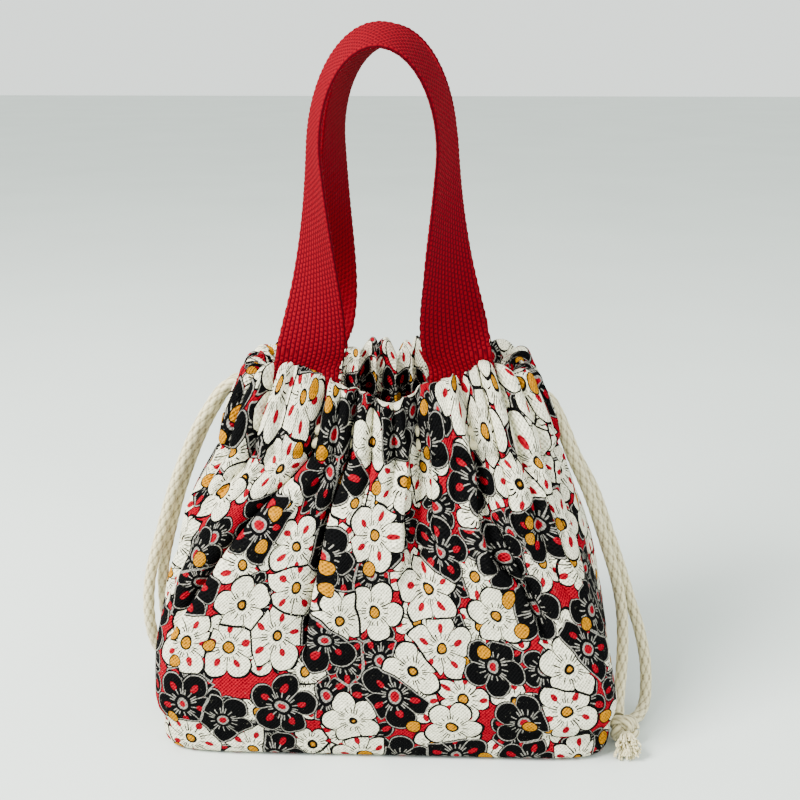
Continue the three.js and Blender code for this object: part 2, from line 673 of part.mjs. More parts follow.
// A webbing handle: flat at its feet, which are rounded about the fold's axis, and edge-on over the arch
function handle(sign, handleX) {
  const rings = [];
  const corners = [[1, 1], [-1, 1], [-1, -1], [1, -1]];
  const lean = THREE.MathUtils.degToRad(handleLean);
  const ring = (t, drop, thickness) => {
    const { x, v } = handleLine(t);
    const ahead = handleLine(Math.min(t + 1e-3, 1));
    const behind = handleLine(Math.max(t - 1e-3, 0));
    const run = new THREE.Vector2(ahead.x - behind.x, ahead.v - behind.v).normalize();
    const outwards = new THREE.Vector2(-run.y, run.x);
    const flat = (Math.PI / 2) * Math.exp(-Math.max(v - flatLength, 0) / twistLength);
    const [sine, cosine] = [Math.sin(flat), Math.cos(flat)];
    const across = new THREE.Vector3(sine * outwards.x, cosine, sine * outwards.y);
    const through = new THREE.Vector3(cosine * outwards.x, -sine, cosine * outwards.y);
    if (v <= flatLength) {
      across.set(Math.sign(x), 0, 0);
      through.set(0, -1, 0);
    }
    return corners.map(([a, b]) => {
      const point = new THREE.Vector3(x, 0, v - drop)
        .addScaledVector(across, (a * webbingWidth) / 2)
        .addScaledVector(through, (b * thickness) / 2);
      point.y *= sign < 0 ? 1 : -1;
      point.applyAxisAngle(new THREE.Vector3(1, 0, 0), -sign * lean);
      return point.add(new THREE.Vector3(handleX, sign * handleY, foldHeight));
    });
  };
  const foot = webbingThickness / 2;
  const roundFoot = (t, degrees) => {
    const angle = THREE.MathUtils.degToRad(degrees);
    rings.push(ring(t, foot * Math.sin(angle), webbingThickness * Math.cos(angle)));
  };
  for (const degrees of [85, 60, 30]) roundFoot(0, degrees);
  for (const t of spread(0, 1, handleSteps)) rings.push(ring(t, 0, webbingThickness));
  for (const degrees of [30, 60, 85]) roundFoot(1, degrees);
  return loft(rings, corners.map((p) => new THREE.Vector2(...p)));
}

function addHandles() {
  for (const [side, sign, handleX] of [["front", -1, frontHandleX], ["back", 1, backHandleX]]) {
    add("handle_" + side, handle(sign, handleX), finishes.webbing);
    legMiddles.forEach((x, i) => {
      const half = webbingThickness / 2;
      const low = [handleX + x - webbingWidth / 2, sign * handleY - half, handleEndFoot];
      const high = [handleX + x + webbingWidth / 2, sign * handleY + half, foldHeight - half - clearance];
      add("handle_end_" + side + ["_left", "_right"][i], box(low, high), finishes.webbing);
    });
  }
}

addPanels();
addSeams();
addCasings();
addCordsInCasing();
addStrands();
addKnots();
addHandles();

export default bag;
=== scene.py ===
import math
import random
from functools import partial

import bmesh
import bpy
import numpy as np
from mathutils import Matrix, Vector


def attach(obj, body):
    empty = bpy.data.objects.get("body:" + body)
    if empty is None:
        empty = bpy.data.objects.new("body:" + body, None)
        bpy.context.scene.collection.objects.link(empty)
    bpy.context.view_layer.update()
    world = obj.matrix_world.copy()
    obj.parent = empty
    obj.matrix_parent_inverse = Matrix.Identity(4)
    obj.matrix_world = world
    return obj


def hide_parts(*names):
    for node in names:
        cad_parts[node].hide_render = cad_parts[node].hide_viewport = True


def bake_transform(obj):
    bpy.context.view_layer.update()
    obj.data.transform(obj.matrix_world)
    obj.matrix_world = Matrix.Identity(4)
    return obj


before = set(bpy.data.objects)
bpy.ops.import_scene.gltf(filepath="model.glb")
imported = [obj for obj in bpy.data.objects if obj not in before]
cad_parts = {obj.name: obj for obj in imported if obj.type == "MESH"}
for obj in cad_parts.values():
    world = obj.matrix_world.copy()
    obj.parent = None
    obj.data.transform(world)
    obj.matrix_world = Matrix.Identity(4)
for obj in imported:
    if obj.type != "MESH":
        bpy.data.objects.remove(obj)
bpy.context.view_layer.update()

mm = 0.001
scene = bpy.context.scene


# Small helpers

def toLinear(hexColour):  # "#RRGGBB" in sRGB to linear red, green, blue and alpha
    parts = [int(hexColour[i:i + 2], 16) / 255 for i in (1, 3, 5)]
    linear = [p / 12.92 if p <= 0.04045 else ((p + 0.055) / 1.055) ** 2.4 for p in parts]
    return (*linear, 1.0)


def smooth(value, low, high):  # 0 before low and 1 after high, for numbers and arrays
    t = np.clip((value - low) / (high - low), 0.0, 1.0)
    return t * t * (3 - 2 * t)


def addNode(tree, kind, settings, inputs):  # an input is a value, a socket, or a node for its first output
    node = tree.nodes.new("ShaderNode" + kind)
    for name, value in settings.items():
        setattr(node, name, value)
    for key, value in inputs.items():
        if isinstance(value, bpy.types.Node):
            value = value.outputs[0]
        if isinstance(value, bpy.types.NodeSocket):
            tree.links.new(value, node.inputs[key])
        else:
            node.inputs[key].default_value = value
    return node


def newMaterial(name, roughness, sheen, gloss):
    material = bpy.data.materials.new(name)
    material.use_nodes = True
    shader = material.node_tree.nodes["Principled BSDF"]
    shader.inputs["Roughness"].default_value = roughness
    shader.inputs["Specular IOR Level"].default_value = gloss
    shader.inputs["Sheen Weight"].default_value = sheen
    shader.inputs["Sheen Roughness"].default_value = 0.6
    return material, shader, partial(addNode, material.node_tree)


def finishShader(material, shader, colour, height, depth):  # depth is the bump's real depth in metres
    tree = material.node_tree
    bump = addNode(tree, "Bump", {}, {"Strength": 1.0, "Distance": depth, "Height": height})
    tree.links.new(colour.outputs[0], shader.inputs["Base Color"])
    tree.links.new(bump.outputs[0], shader.inputs["Normal"])
    return material


def meshOf(name, bm):
    mesh = bpy.data.meshes.new(name)
    bm.to_mesh(mesh)
    bm.free()
    return mesh


def inScene(name, data):
    made = bpy.data.objects.new(name, data)
    scene.collection.objects.link(made)
    return made


def gridMesh(name, places, uvs, values=None):  # a grid whose vertices take these places, in mm, row by row
    rows, columns = places.shape[:2]
    bm = bmesh.new()
    bmesh.ops.create_grid(bm, x_segments=columns - 1, y_segments=rows - 1, size=0.5)
    mesh = meshOf(name, bm)
    mesh.vertices.foreach_set("co", (places * mm).ravel())
    corners = np.zeros(len(mesh.loops), int)
    mesh.loops.foreach_get("vertex_index", corners)
    mesh.uv_layers.new(name="cloth").uv.foreach_set("vector", (uvs.reshape(-1, 2)[corners] * mm).ravel())
    if values is not None:
        mesh.attributes.new("dip", "FLOAT", "POINT").data.foreach_set("value", values.ravel())
    return mesh


def pieceOf(name, bm, material):
    mesh = meshOf(name, bm)
    mesh.polygons.foreach_set("use_smooth", [True] * len(mesh.polygons))
    mesh.set_sharp_from_angle(angle=math.radians(70))  # the cut edges of the cloth
    mesh.materials.append(material)
    piece = inScene(name, mesh)
    return piece


# Camera at the photograph's viewing angle
photoCamera = {"place": (0.025, -0.514, 0.318), "tilt": 72.4, "turn": 2.2, "lens": 51.75, "sensor": 36.0}

cameraData = bpy.data.cameras.new("photoCamera")
cameraData.lens = photoCamera["lens"]
cameraData.sensor_width = photoCamera["sensor"]
camera = inScene("photoCamera", cameraData)
camera.location = photoCamera["place"]
camera.rotation_euler = (math.radians(photoCamera["tilt"]), 0, math.radians(photoCamera["turn"]))
scene.camera = camera


# Braided cotton cord: dull cream, a little fuzzy, with painted shade where its strands dip under each other
def makeCordCotton():
    material, shader, add = newMaterial("cordCotton", 0.92, 0.2, 0.1)
    place = add("TexCoord", {}, {}).outputs["Object"]
    dipShade = add("Attribute", {"attribute_name": "dip"}, {}).outputs["Fac"]
    # Real fibres are far too fine to show, so in all these cloths they are drawn as coarse as they need to be
    fibres = add("TexNoise", {}, {"Vector": place, "Scale": 1500.0, "Detail": 3.0})  # 0.7 mm apart
    tint = add("MixRGB", {}, {"Fac": fibres, "Color1": toLinear("#CABC8E"), "Color2": toLinear("#F4EBC4")})
    patches = add("TexNoise", {}, {"Vector": place, "Scale": 60.0})
    uneven = add("MixRGB", {"blend_type": "MULTIPLY"}, {"Fac": 0.25, "Color1": tint, "Color2": patches})
    # painted shade: the cord's colour darkens towards #6A5B3A where its strands dip under each other
    shade = add("MixRGB", {}, {"Fac": dipShade, "Color1": uneven, "Color2": toLinear("#6A5B3A")})
    return finishShader(material, shader, shade, fibres, 0.0003)


cordCotton = makeCordCotton()

# The drawcords' free strands, each from its slit in the casing down to its knot on the floor
cordSizes = {"diameter": 5.5, "around": 26, "step": 0.55, "strands": 5, "braidPitch": 8.5, "relief": 0.42}
strandRoutes = {
    "left_front": [
        (-68.6, -3.2, 163.5), (-72.2, -3.2, 163.7), (-77.6, -3.2, 160.3), (-84.5, -3.2, 151),
        (-92, -3.1, 138), (-103.3, -3, 111.4), (-111.2, -3, 87), (-118, -2.6, 64), (-120.6, -1, 46),
        (-121.3, 3, 31), (-120.9, 8.4, 19.5), (-120, 14, 12.8), (-119.6, 21, 10)],
    "left_back": [
        (-68.6, 3.2, 163.5), (-71.9, 3.2, 163.4), (-76.6, 3.2, 159.6), (-82.6, 3.2, 150.6),
        (-89.7, 3.2, 137.6), (-100.4, 3.2, 111.2), (-107.8, 3.3, 87), (-113.2, 3.7, 64), (-114.6, 6, 46),
        (-114.7, 9.4, 31), (-114.3, 12.6, 18.6), (-113.7, 15.4, 10.4), (-113.6, 21, 6.4)],
    "right_front": [
        (70.5, -3.2, 157.5), (74.2, -3.2, 156), (78.2, -3.2, 149.8), (82.2, -3.2, 140), (86.8, -3.2, 128.6),
        (95, -3.2, 111), (104.4, -3.2, 84.8), (110.6, -3.5, 65.7), (113.4, -7, 52), (114, -12.8, 38),
        (113, -20.4, 26), (111.3, -28, 16.4), (110, -36, 11)],
    "right_back": [
        (70.5, 3.2, 157.5), (74.4, 3.2, 156.1), (78.8, 3.2, 149.8), (83.6, 3.2, 139.6), (88.4, 3.2, 128.4),
        (98, 3.2, 110.6), (107.8, 3, 84.5), (114.4, 2.6, 66), (118.8, 0.8, 52.5), (123.4, -1.8, 39),
        (126.6, -6, 24.5), (126.9, -11.8, 13.4), (125.4, -18.8, 7.4), (121.8, -26.2, 5.2),
        (117.4, -31.6, 5.1), (115, -36, 5.8)],
}


def travelled(path):  # how far along the path each of its points is
    return np.concatenate([[0], np.cumsum(np.linalg.norm(np.diff(path, axis=0), axis=1))])


def evenly(path, step):
    lengths = travelled(path)
    at = np.linspace(0, lengths[-1], max(2, int(round(lengths[-1] / step)) + 1))
    return np.stack([np.interp(at, lengths, path[:, k]) for k in range(3)], axis=1)


def curveThrough(points, step):  # evenly spaced points on a centripetal Catmull-Rom curve
    points = [np.array(p, float) for p in points]
    points = [2 * points[0] - points[1]] + points + [2 * points[-1] - points[-2]]
    fine = []
    for p0, p1, p2, p3 in zip(points, points[1:], points[2:], points[3:]):
        t0 = 0.0
        t1 = t0 + np.linalg.norm(p1 - p0) ** 0.5
        t2 = t1 + np.linalg.norm(p2 - p1) ** 0.5
        t3 = t2 + np.linalg.norm(p3 - p2) ** 0.5
        for t in np.linspace(t1, t2, 24, endpoint=False):
            a1 = (t1 - t) / (t1 - t0) * p0 + (t - t0) / (t1 - t0) * p1
            a2 = (t2 - t) / (t2 - t1) * p1 + (t - t1) / (t2 - t1) * p2
            a3 = (t3 - t) / (t3 - t2) * p2 + (t - t2) / (t3 - t2) * p3
            b1 = (t2 - t) / (t2 - t0) * a1 + (t - t0) / (t2 - t0) * a2
            b2 = (t3 - t) / (t3 - t1) * a2 + (t - t1) / (t3 - t1) * a3
            fine.append((t2 - t) / (t2 - t1) * b1 + (t - t1) / (t2 - t1) * b2)
    fine.append(points[-2])
    return evenly(np.array(fine), step)


def carriedFrames(path, closed=False):  # a side and an up direction at each point, carried along without twist
    runs = np.gradient(path, axis=0)
    if closed:
        runs = np.roll(path, -1, axis=0) - np.roll(path, 1, axis=0)
    runs /= np.linalg.norm(runs, axis=1)[:, None]
    side = np.cross(runs[0], (0.0, 0.0, 1.0) if abs(runs[0][2]) < 0.9 else (0.0, 1.0, 0.0))
    sides, ups = [], []
    for run in runs:
        side = side - run * (side @ run)
        side /= np.linalg.norm(side)
        sides.append(side)
        ups.append(np.cross(run, side))
    return np.array(sides), np.array(ups)


def closeTube(mesh, closed):  # welds the grid's long edges, and its ends if the path is a ring, else caps them
    bm = bmesh.new()
    bm.from_mesh(mesh)
    bmesh.ops.remove_doubles(bm, verts=bm.verts[:], dist=1e-6)
    if not closed:
        bmesh.ops.holes_fill(bm, edges=[e for e in bm.edges if e.is_boundary], sides=0)
    return bm


def tube(name, path, radius, around, lift=None, closed=False):
    sides, ups = carriedFrames(path, closed)
    angle = np.linspace(0, 2 * math.pi, around + 1)[None, :]
    across = np.full((len(path), around + 1), float(radius))
    if lift is not None:
        across = across + lift
    ring = np.cos(angle)[..., None] * sides[:, None] + np.sin(angle)[..., None] * ups[:, None]
    places = path[:, None] + ring * across[..., None]
    places[:, -1] = places[:, 0]
    if closed:  # the last ring is the first one
        places = np.concatenate([places, places[:1]])
        across = np.concatenate([across, across[:1]])
    uvs = np.stack(np.broadcast_arrays(angle * radius, np.arange(len(places))[:, None]), axis=-1)
    # how deep each point lies below the braid's mean radius, which the cords' painted shade follows
    dipShade = np.clip(1.8 * (radius - across) / cordSizes["relief"], 0, 1)
    return closeTube(gridMesh(name, places, uvs, dipShade), closed)


def braidLift(rows, sizes):  # how far each point of a braid stands off its mean radius
    angle = np.linspace(0, 1, sizes["around"] + 1)[None, :]
    along = (np.arange(rows) * sizes["step"])[:, None] / sizes["braidPitch"]
    one = np.abs(np.sin(math.pi * (sizes["strands"] * angle + along)))
    other = np.abs(np.sin(math.pi * (sizes["strands"] * angle - along)))
    return sizes["relief"] * ((one * other) ** 0.6 - 0.6)


print("cords")
strands = {}
for name, route in strandRoutes.items():
    path = curveThrough(route, cordSizes["step"])
    radius = cordSizes["diameter"] / 2
    bm = tube(name, path, radius, cordSizes["around"], braidLift(len(path), cordSizes))
    strand = pieceOf(name + "_cord", bm, cordCotton)
    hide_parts(name + "_strand")
    exitPoint = Vector(route[0]) * mm
    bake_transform(strand)
    strands[name] = (strand, path, exitPoint)

# Each cord's two ends in one knot, and the frayed tassel beyond it
knotSizes = {"ring": 3.3, "swell": 1.6, "stretch": 2.3, "radius": 2.5,
             "places": {"left": (-117, 27, 7.7), "right": (112, -42, 7.7)}}
tasselSizes = {"yarns": 110, "length": 13.0, "spread": 6.2, "radius": 0.4, "sides": 5, "steps": 9, "seed": 4}


def makeKnot(side):
    angle = np.linspace(0, 2 * math.pi, 400)
    across = knotSizes["ring"] + knotSizes["swell"] * np.cos(3 * angle)
    loop = np.stack([across * np.cos(2 * angle), knotSizes["stretch"] * np.sin(3 * angle),
                     across * np.sin(2 * angle)], axis=1)
    path = evenly(loop, cordSizes["step"])[:-1] + np.array(knotSizes["places"][side])
    lift = braidLift(len(path), cordSizes)
    bm = tube("knot", path, knotSizes["radius"], cordSizes["around"], lift, True)
    knot = pieceOf(side + "_cord_knot", bm, cordCotton)
    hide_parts(side + "_knot")
    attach(knot, side + "_pull")
    return knot


def makeTassel(side, away):  # away is +1 where the tassel points back and -1 where it points to the front
    rng = random.Random(tasselSizes["seed"] + (side == "right"))
    root = np.array(knotSizes["places"][side]) + np.array((0, away * 5.0, -0.6))
    bm = bmesh.new()
    for _ in range(tasselSizes["yarns"]):
        turn, wave = rng.uniform(0, 2 * math.pi), rng.uniform(0, 2 * math.pi)
        reach = rng.uniform(0.02, 1.0) ** 0.5
        length = tasselSizes["length"] * rng.uniform(0.75, 1.0) * (1.0 - 0.2 * reach)
        t = np.linspace(0, 1, tasselSizes["steps"] + 1)
        out = 2.6 * reach + tasselSizes["spread"] * reach * rng.uniform(0.55, 0.8) * t ** 1.4
        out = out + 0.8 * t * np.sin(wave + 7 * t)
        line = np.stack([root[0] + math.cos(turn) * out, root[1] + away * length * t,
                         np.maximum(root[2] + math.sin(turn) * out - 1.5 * t * t, 0.6)], axis=1)
        mesh = meshOf("yarn", tube("yarn", line, tasselSizes["radius"], tasselSizes["sides"]))
        bm.from_mesh(mesh)
        bpy.data.meshes.remove(mesh)
    tassel = pieceOf(side + "_cord_tassel", bm, cordCotton)
    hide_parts(side + "_tassel")
    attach(tassel, side + "_pull")
    return tassel


for side, away in (("left", 1), ("right", -1)):
    onIt = (makeKnot(side), makeTassel(side, away))
    for which in ("front", "back"):
        strand, path, exitPoint = strands[side + "_" + which]


# Printed cotton canvas: a plain weave of thick soft yarns, matte, with flat printed inks that the weave breaks
# up, and painted shade between the yarns. The print is a generic crowd of blossoms in off-white, black, red and
# mustard. Sizes are in mm
printSizes = {"cell": 26.0, "petals": 16.5, "backCell": 19.0, "backPetals": 13.0, "scatter": 0.75, "line": 0.5,
              "softness": 0.2, "darkShare": 0.44, "disc": 3.4, "discCell": 19.0, "discShare": 0.34, "yarn": 0.9}
flowerSizes = {"petalCount": 5, "smallest": 0.82, "largest": 1.1, "notch": 0.58, "roundness": 0.55,
               "stamens": 15, "stamenFoot": 4.6, "stamenTip": 7.0, "ring": 3.0, "eye": 2.8, "softness": 0.3,
               "dropAt": 9.2, "dropLength": 2.3, "dropWidth": 3.6, "dropShare": 0.65}
printInks = {"white": "#F8F4D8", "black": "#09090A", "red": "#94001A", "mustard": "#BA7A02", "pen": "#8E8B83"}

# Settings and inputs that many of the print's nodes share
flowers = {"voronoi_dimensions": "2D", "feature": "F1"}
times, over = {"operation": "MULTIPLY"}, {"operation": "DIVIDE"}
minus, above = {"operation": "SUBTRACT"}, {"operation": "GREATER_THAN"}
unsigned, highest = {"operation": "ABSOLUTE"}, {"operation": "MAXIMUM"}
falling = {"To Min": 1.0, "To Max": 0.0}  # 1 below the range and 0 above it


def blossoms(add, ink, place, width, petals):  # a crowd of blossoms: its picture, and where its petals are
    sizes = flowerSizes
    lattice = {"Vector": place, "Scale": 1000 / width, "Randomness": printSizes["scatter"]}
    near = add("TexVoronoi", flowers, lattice)
    edge = add("TexVoronoi", {"voronoi_dimensions": "2D", "feature": "DISTANCE_TO_EDGE"}, lattice)
    offset = add("VectorMath", minus, {0: place, 1: near.outputs["Position"]})
    parts = add("SeparateXYZ", {}, {0: offset})
    away = add("VectorMath", {"operation": "LENGTH"}, {0: offset}).outputs["Value"]
    radius = add("Math", times, {0: away, 1: 1000.0})  # from the flower's middle, in mm
    chance = add("SeparateColor", {}, {0: near.outputs["Color"]})
    angle = add("Math", {"operation": "ARCTAN2"}, {0: parts.outputs["Y"], 1: parts.outputs["X"]})
    turn = add("Math", times, {0: chance.outputs["Red"], 1: 6.283})  # up to a whole turn
    turned = add("Math", {"operation": "ADD"}, {0: angle, 1: turn})

    # Petals: round lobes, the outline where the radius meets the lobe, and a notch between petals
    half = add("Math", times, {0: turned, 1: sizes["petalCount"] / 2})
    wave = add("Math", {"operation": "COSINE"}, {0: half})
    lobe = add("Math", unsigned, {0: wave})
    lobe = add("Math", {"operation": "POWER"}, {0: lobe, 1: sizes["roundness"]})
    size = add("MapRange", {}, {"Value": chance.outputs["Green"], "To Min": petals * sizes["smallest"],
                                "To Max": petals * sizes["largest"]})
    reach = add("MapRange", {}, {"Value": lobe, "To Min": sizes["notch"], "To Max": 1.0})
    reach = add("Math", times, {0: reach, 1: size})
    gap = add("Math", minus, {0: reach, 1: radius})  # mm inside the petals' outline
    edgeGap = add("Math", times, {0: edge, 1: width})  # and inside the flower's own cell
    inside = add("Math", {"operation": "MINIMUM"}, {0: gap, 1: edgeGap})
    petal = add("MapRange", {}, {"Value": inside, "From Min": -0.1, "From Max": 0.1})
    outline = add("Math", unsigned, {0: inside})
    outline = add("MapRange", {}, {"Value": outline, "From Min": printSizes["line"],
                                   "From Max": printSizes["line"] + printSizes["softness"], **falling})

    # Lines between the petals, stamens and a ring round the middle, each by its distance in mm from the line
    middle = add("MapRange", {}, {"Value": radius, "From Min": sizes["stamenFoot"],
                                  "From Max": sizes["stamenFoot"] + sizes["softness"]})
    tip = add("MapRange", {}, {"Value": radius, "From Min": sizes["stamenTip"],
                               "From Max": sizes["stamenTip"] + sizes["softness"], **falling})
    short = add("MapRange", {}, {"Value": gap, "From Min": 0.0, "From Max": 0.4})
    creases = add("Math", times, {0: lobe, 1: radius})
    creases = add("MapRange", {}, {"Value": creases, "From Min": 1.6, "From Max": 2.4, **falling})
    spokes = add("Math", times, {0: turned, 1: sizes["stamens"] / 2})
    spokes = add("Math", {"operation": "SINE"}, {0: spokes})
    spokes = add("Math", unsigned, {0: spokes})
    spokes = add("Math", times, {0: spokes, 1: radius})
    spokes = add("MapRange", {}, {"Value": spokes, "From Min": 1.7, "From Max": 2.3, **falling})
    ring = add("Math", minus, {0: radius, 1: sizes["ring"]})
    ring = add("Math", unsigned, {0: ring})
    lines = add("MapRange", {}, {"Value": ring, "From Min": 0.3, "From Max": 0.5, **falling})
    for line, end in ((creases, short), (spokes, tip)):
        line = add("Math", times, {0: line, 1: middle})
        line = add("Math", times, {0: line, 1: end})
        lines = add("Math", highest, {0: lines, 1: line})
    lines = add("Math", highest, {0: lines, 1: outline})

    # A drop on each petal of some flowers, and the eye in the middle
    alongDrop = add("Math", minus, {0: radius, 1: sizes["dropAt"]})
    alongDrop = add("Math", over, {0: alongDrop, 1: sizes["dropLength"]})
    acrossDrop = add("Math", {"operation": "SINE"}, {0: half})
    acrossDrop = add("Math", times, {0: acrossDrop, 1: radius})
    acrossDrop = add("Math", over, {0: acrossDrop, 1: sizes["dropWidth"]})
    drop = add("CombineXYZ", {}, {0: alongDrop, 1: acrossDrop})
    drop = add("VectorMath", {"operation": "LENGTH"}, {0: drop}).outputs["Value"]
    drop = add("MapRange", {}, {"Value": drop, "From Min": 0.9, "From Max": 1.05, **falling})
    some = add("Math", above, {0: chance.outputs["Green"], 1: 1 - sizes["dropShare"]})
    drop = add("Math", times, {0: drop, 1: some})
    eye = add("MapRange", {}, {"Value": radius, "From Min": sizes["eye"],
                               "From Max": sizes["eye"] + sizes["softness"], **falling})

    dark = add("Math", above, {0: chance.outputs["Blue"], 1: 1 - printSizes["darkShare"]})
    flower, pen, eyeInk = (add("MixRGB", {}, {"Fac": dark, "Color1": ink[onPale], "Color2": ink[onDark]})
                           for onPale, onDark in (("white", "black"), ("black", "pen"), ("mustard", "red")))
    for where, colour in ((drop, ink["red"]), (eye, eyeInk), (lines, pen)):
        flower = add("MixRGB", {}, {"Fac": where, "Color1": flower, "Color2": colour})
    flower = add("MixRGB", {}, {"Fac": petal, "Color1": ink["black"], "Color2": flower})  # and a line round it
    return flower, add("Math", highest, {0: petal, 1: outline})


def makePrintedCanvas():
    material, shader, add = newMaterial("printedCanvas", 0.9, 0.0, 0.02)
    ink = {key: toLinear(value) for key, value in printInks.items()}
    uv = add("UVMap", {"uv_map": "cloth"}, {})
    waver = add("TexNoise", {}, {"Vector": uv, "Scale": 90.0, "Detail": 1.0})  # drawn by hand: the lines waver
    drift = add("VectorMath", {"operation": "SCALE"}, {0: waver.outputs["Color"], "Scale": 0.0035})
    place = add("VectorMath", {"operation": "ADD"}, {0: uv, 1: drift})
    behind = add("VectorMath", {"operation": "ADD"}, {0: place, 1: (0.71, 0.37, 0.0)})
    small, smallPetals = blossoms(add, ink, behind, printSizes["backCell"], printSizes["backPetals"])
    large, largePetals = blossoms(add, ink, place, printSizes["cell"], printSizes["petals"])
    picture = add("MixRGB", {}, {"Fac": smallPetals, "Color1": ink["red"], "Color2": small})
    picture = add("MixRGB", {}, {"Fac": largePetals, "Color1": picture, "Color2": large})

    # Mustard discs with a black line round them, on some cells of a lattice of their own
    lattice = {"Vector": place, "Scale": 1000 / printSizes["discCell"], "Randomness": 0.9}
    discs = add("TexVoronoi", flowers, lattice)
    away = add("VectorMath", {"operation": "DISTANCE"}, {0: place, 1: discs.outputs["Position"]}).outputs["Value"]
    away = add("Math", times, {0: away, 1: 1000.0})
    chance = add("SeparateColor", {}, {0: discs.outputs["Color"]})
    picked = add("Math", above, {0: chance.outputs["Red"], 1: 1 - printSizes["discShare"]})
    rim = printSizes["disc"] + printSizes["line"]
    for radius, colour in ((rim, ink["black"]), (printSizes["disc"], ink["mustard"])):
        disc = add("MapRange", {}, {"Value": away, "From Min": radius,
                                    "From Max": radius + printSizes["softness"], **falling})
        disc = add("Math", times, {0: disc, 1: picked})
        picture = add("MixRGB", {}, {"Fac": disc, "Color1": picture, "Color2": colour})

    # Plain weave: warp and weft pass over each other in turn, so every other crossing stands up. Real yarns are
    # about half as wide, too fine to show, so they are drawn as coarse as they need to be
    threads = add("VectorMath", {"operation": "SCALE"}, {0: uv, "Scale": 3141.6 / printSizes["yarn"]})
    threads = add("SeparateXYZ", {}, {0: threads})
    warp = add("Math", {"operation": "SINE"}, {0: threads.outputs["X"]})
    weft = add("Math", {"operation": "SINE"}, {0: threads.outputs["Y"]})
    crossing = add("Math", times, {0: warp, 1: weft})
    slub = add("TexNoise", {}, {"Vector": uv, "Scale": 420.0, "Detail": 2.0})
    upright = add("VectorMath", times, {0: uv, 1: (1.0, 0.18, 1.0)})
    level = add("VectorMath", times, {0: uv, 1: (0.18, 1.0, 1.0)})
    warps = add("TexNoise", {}, {"Vector": upright, "Scale": 1100.0, "Detail": 1.0})  # thick and thin yarns
    wefts = add("TexNoise", {}, {"Vector": level, "Scale": 1100.0, "Detail": 1.0})
    yarns = add("Math", {"operation": "MINIMUM"}, {0: warps, 1: wefts})
    height = add("Math", {"operation": "MULTIPLY_ADD"}, {0: yarns, 1: 4.0, 2: crossing})
    yarnGapShade = add("MapRange", {}, {"Value": height, "From Min": 0.4, "From Max": 2.4, "To Min": 0.3})  # painted shade between the yarns
    woven = add("MixRGB", {"blend_type": "MULTIPLY"}, {"Fac": 0.9, "Color1": picture, "Color2": yarnGapShade})
    specks = add("MapRange", {}, {"Value": slub, "From Min": 0.66, "From Max": 0.76, "To Max": 0.05})
    cloth = add("MixRGB", {}, {"Fac": specks, "Color1": woven, "Color2": ink["white"]})
    return finishShader(material, shader, cloth, height, 0.0003)


printedCanvas = makePrintedCanvas()


# Thin plain cotton lining, off-white and matte, with painted shade of crumples in broad patches
def makeLiningCotton():
    material, shader, add = newMaterial("liningCotton", 0.95, 0.1, 0.1)
    uv = add("UVMap", {"uv_map": "cloth"}, {})
    weave = add("TexNoise", {}, {"Vector": uv, "Scale": 900.0, "Detail": 2.0})  # threads, drawn 1.1 mm coarse
    # painted shade of the lining's crumples: the tint darkens in broad patches
    creases = add("TexNoise", {}, {"Vector": uv, "Scale": 35.0, "Detail": 3.0})
    tint = add("MixRGB", {}, {"Fac": creases, "Color1": toLinear("#C9C2B2"), "Color2": toLinear("#E9E4D8")})
    crumpleShadeAndWeave = add("MixRGB", {"blend_type": "MULTIPLY"}, {"Fac": 0.3, "Color1": tint, "Color2": weave})
    return finishShader(material, shader, crumpleShadeAndWeave, weave, 0.0001)


liningCotton = makeLiningCotton()


# Coarse cotton webbing in deep red: rows of small staggered bumps, dull, lighter fibres, and painted shade in the
# dips between the bumps
def makeWebbingCotton():
    material, shader, add = newMaterial("webbingCotton", 0.85, 0.0, 0.04)
    uv = add("UVMap", {"uv_map": "cloth"}, {})
    dipShade = add("Attribute", {"attribute_name": "dip"}, {}).outputs["Fac"]
    fibres = add("TexNoise", {}, {"Vector": uv, "Scale": 1100.0, "Detail": 3.0})  # drawn 0.9 mm apart
    tint = add("MixRGB", {}, {"Fac": fibres, "Color1": toLinear("#54000B"), "Color2": toLinear("#800013")})
    # painted shade: darker towards #200005 in the dips between the webbing's bumps
    shade = add("MixRGB", {}, {"Fac": dipShade, "Color1": tint, "Color2": toLinear("#200005")})
    return finishShader(material, shader, shade, fibres, 0.0002)


webbingCotton = makeWebbingCotton()

# The bag's outline: widths and depths at each height, and how square it is at the foot and the top. The base's
# boxed corners are squarer still, which fades upwards, and the cloth between foot and neck leans to the left
bagSizes = {"heights": (0, 32, 100, 140, 173), "widths": (210, 215, 188, 150, 128),
            "depths": (120, 127, 106, 76, 60), "neck": 140, "squareness": (5, 4), "boxed": 4.5, "boxedTo": 85,
            "foot": 5.0, "bottomSeam": 136, "lean": -2.5, "heldAtSeam": 14, "flatWidth": 330.0}
clothSizes = {"columns": 340, "step": 1.4, "bottomRows": 24, "footRows": 7, "thickness": 1.2,
              "liningGap": 2.6, "liningThickness": 0.6, "stitchDepth": 1.3, "seamDepth": 0.7,
              "seamStrip": 20.5, "blendHeight": 45.0}
outlineSizes = {"levels": 200, "points": 1441}
halves = (("front", -1), ("back", 1))
neck = bagSizes["neck"]


def throughHeights(heights, values, z):  # a smooth curve through values, with no slope at the lowest one
    slopes = [0.0]
    for i in range(1, len(heights)):
        after = min(i + 1, len(heights) - 1)
        slopes.append((values[after] - values[i - 1]) / (heights[after] - heights[i - 1]))
    i = max(0, min(len(heights) - 2, int(np.searchsorted(heights, z, side="right")) - 1))
    span = heights[i + 1] - heights[i]
    t = (z - heights[i]) / span
    return ((1 + 2 * t) * (1 - t) ** 2 * values[i] + t * (1 - t) ** 2 * span * slopes[i]
            + t * t * (3 - 2 * t) * values[i + 1] + t * t * (t - 1) * span * slopes[i + 1])


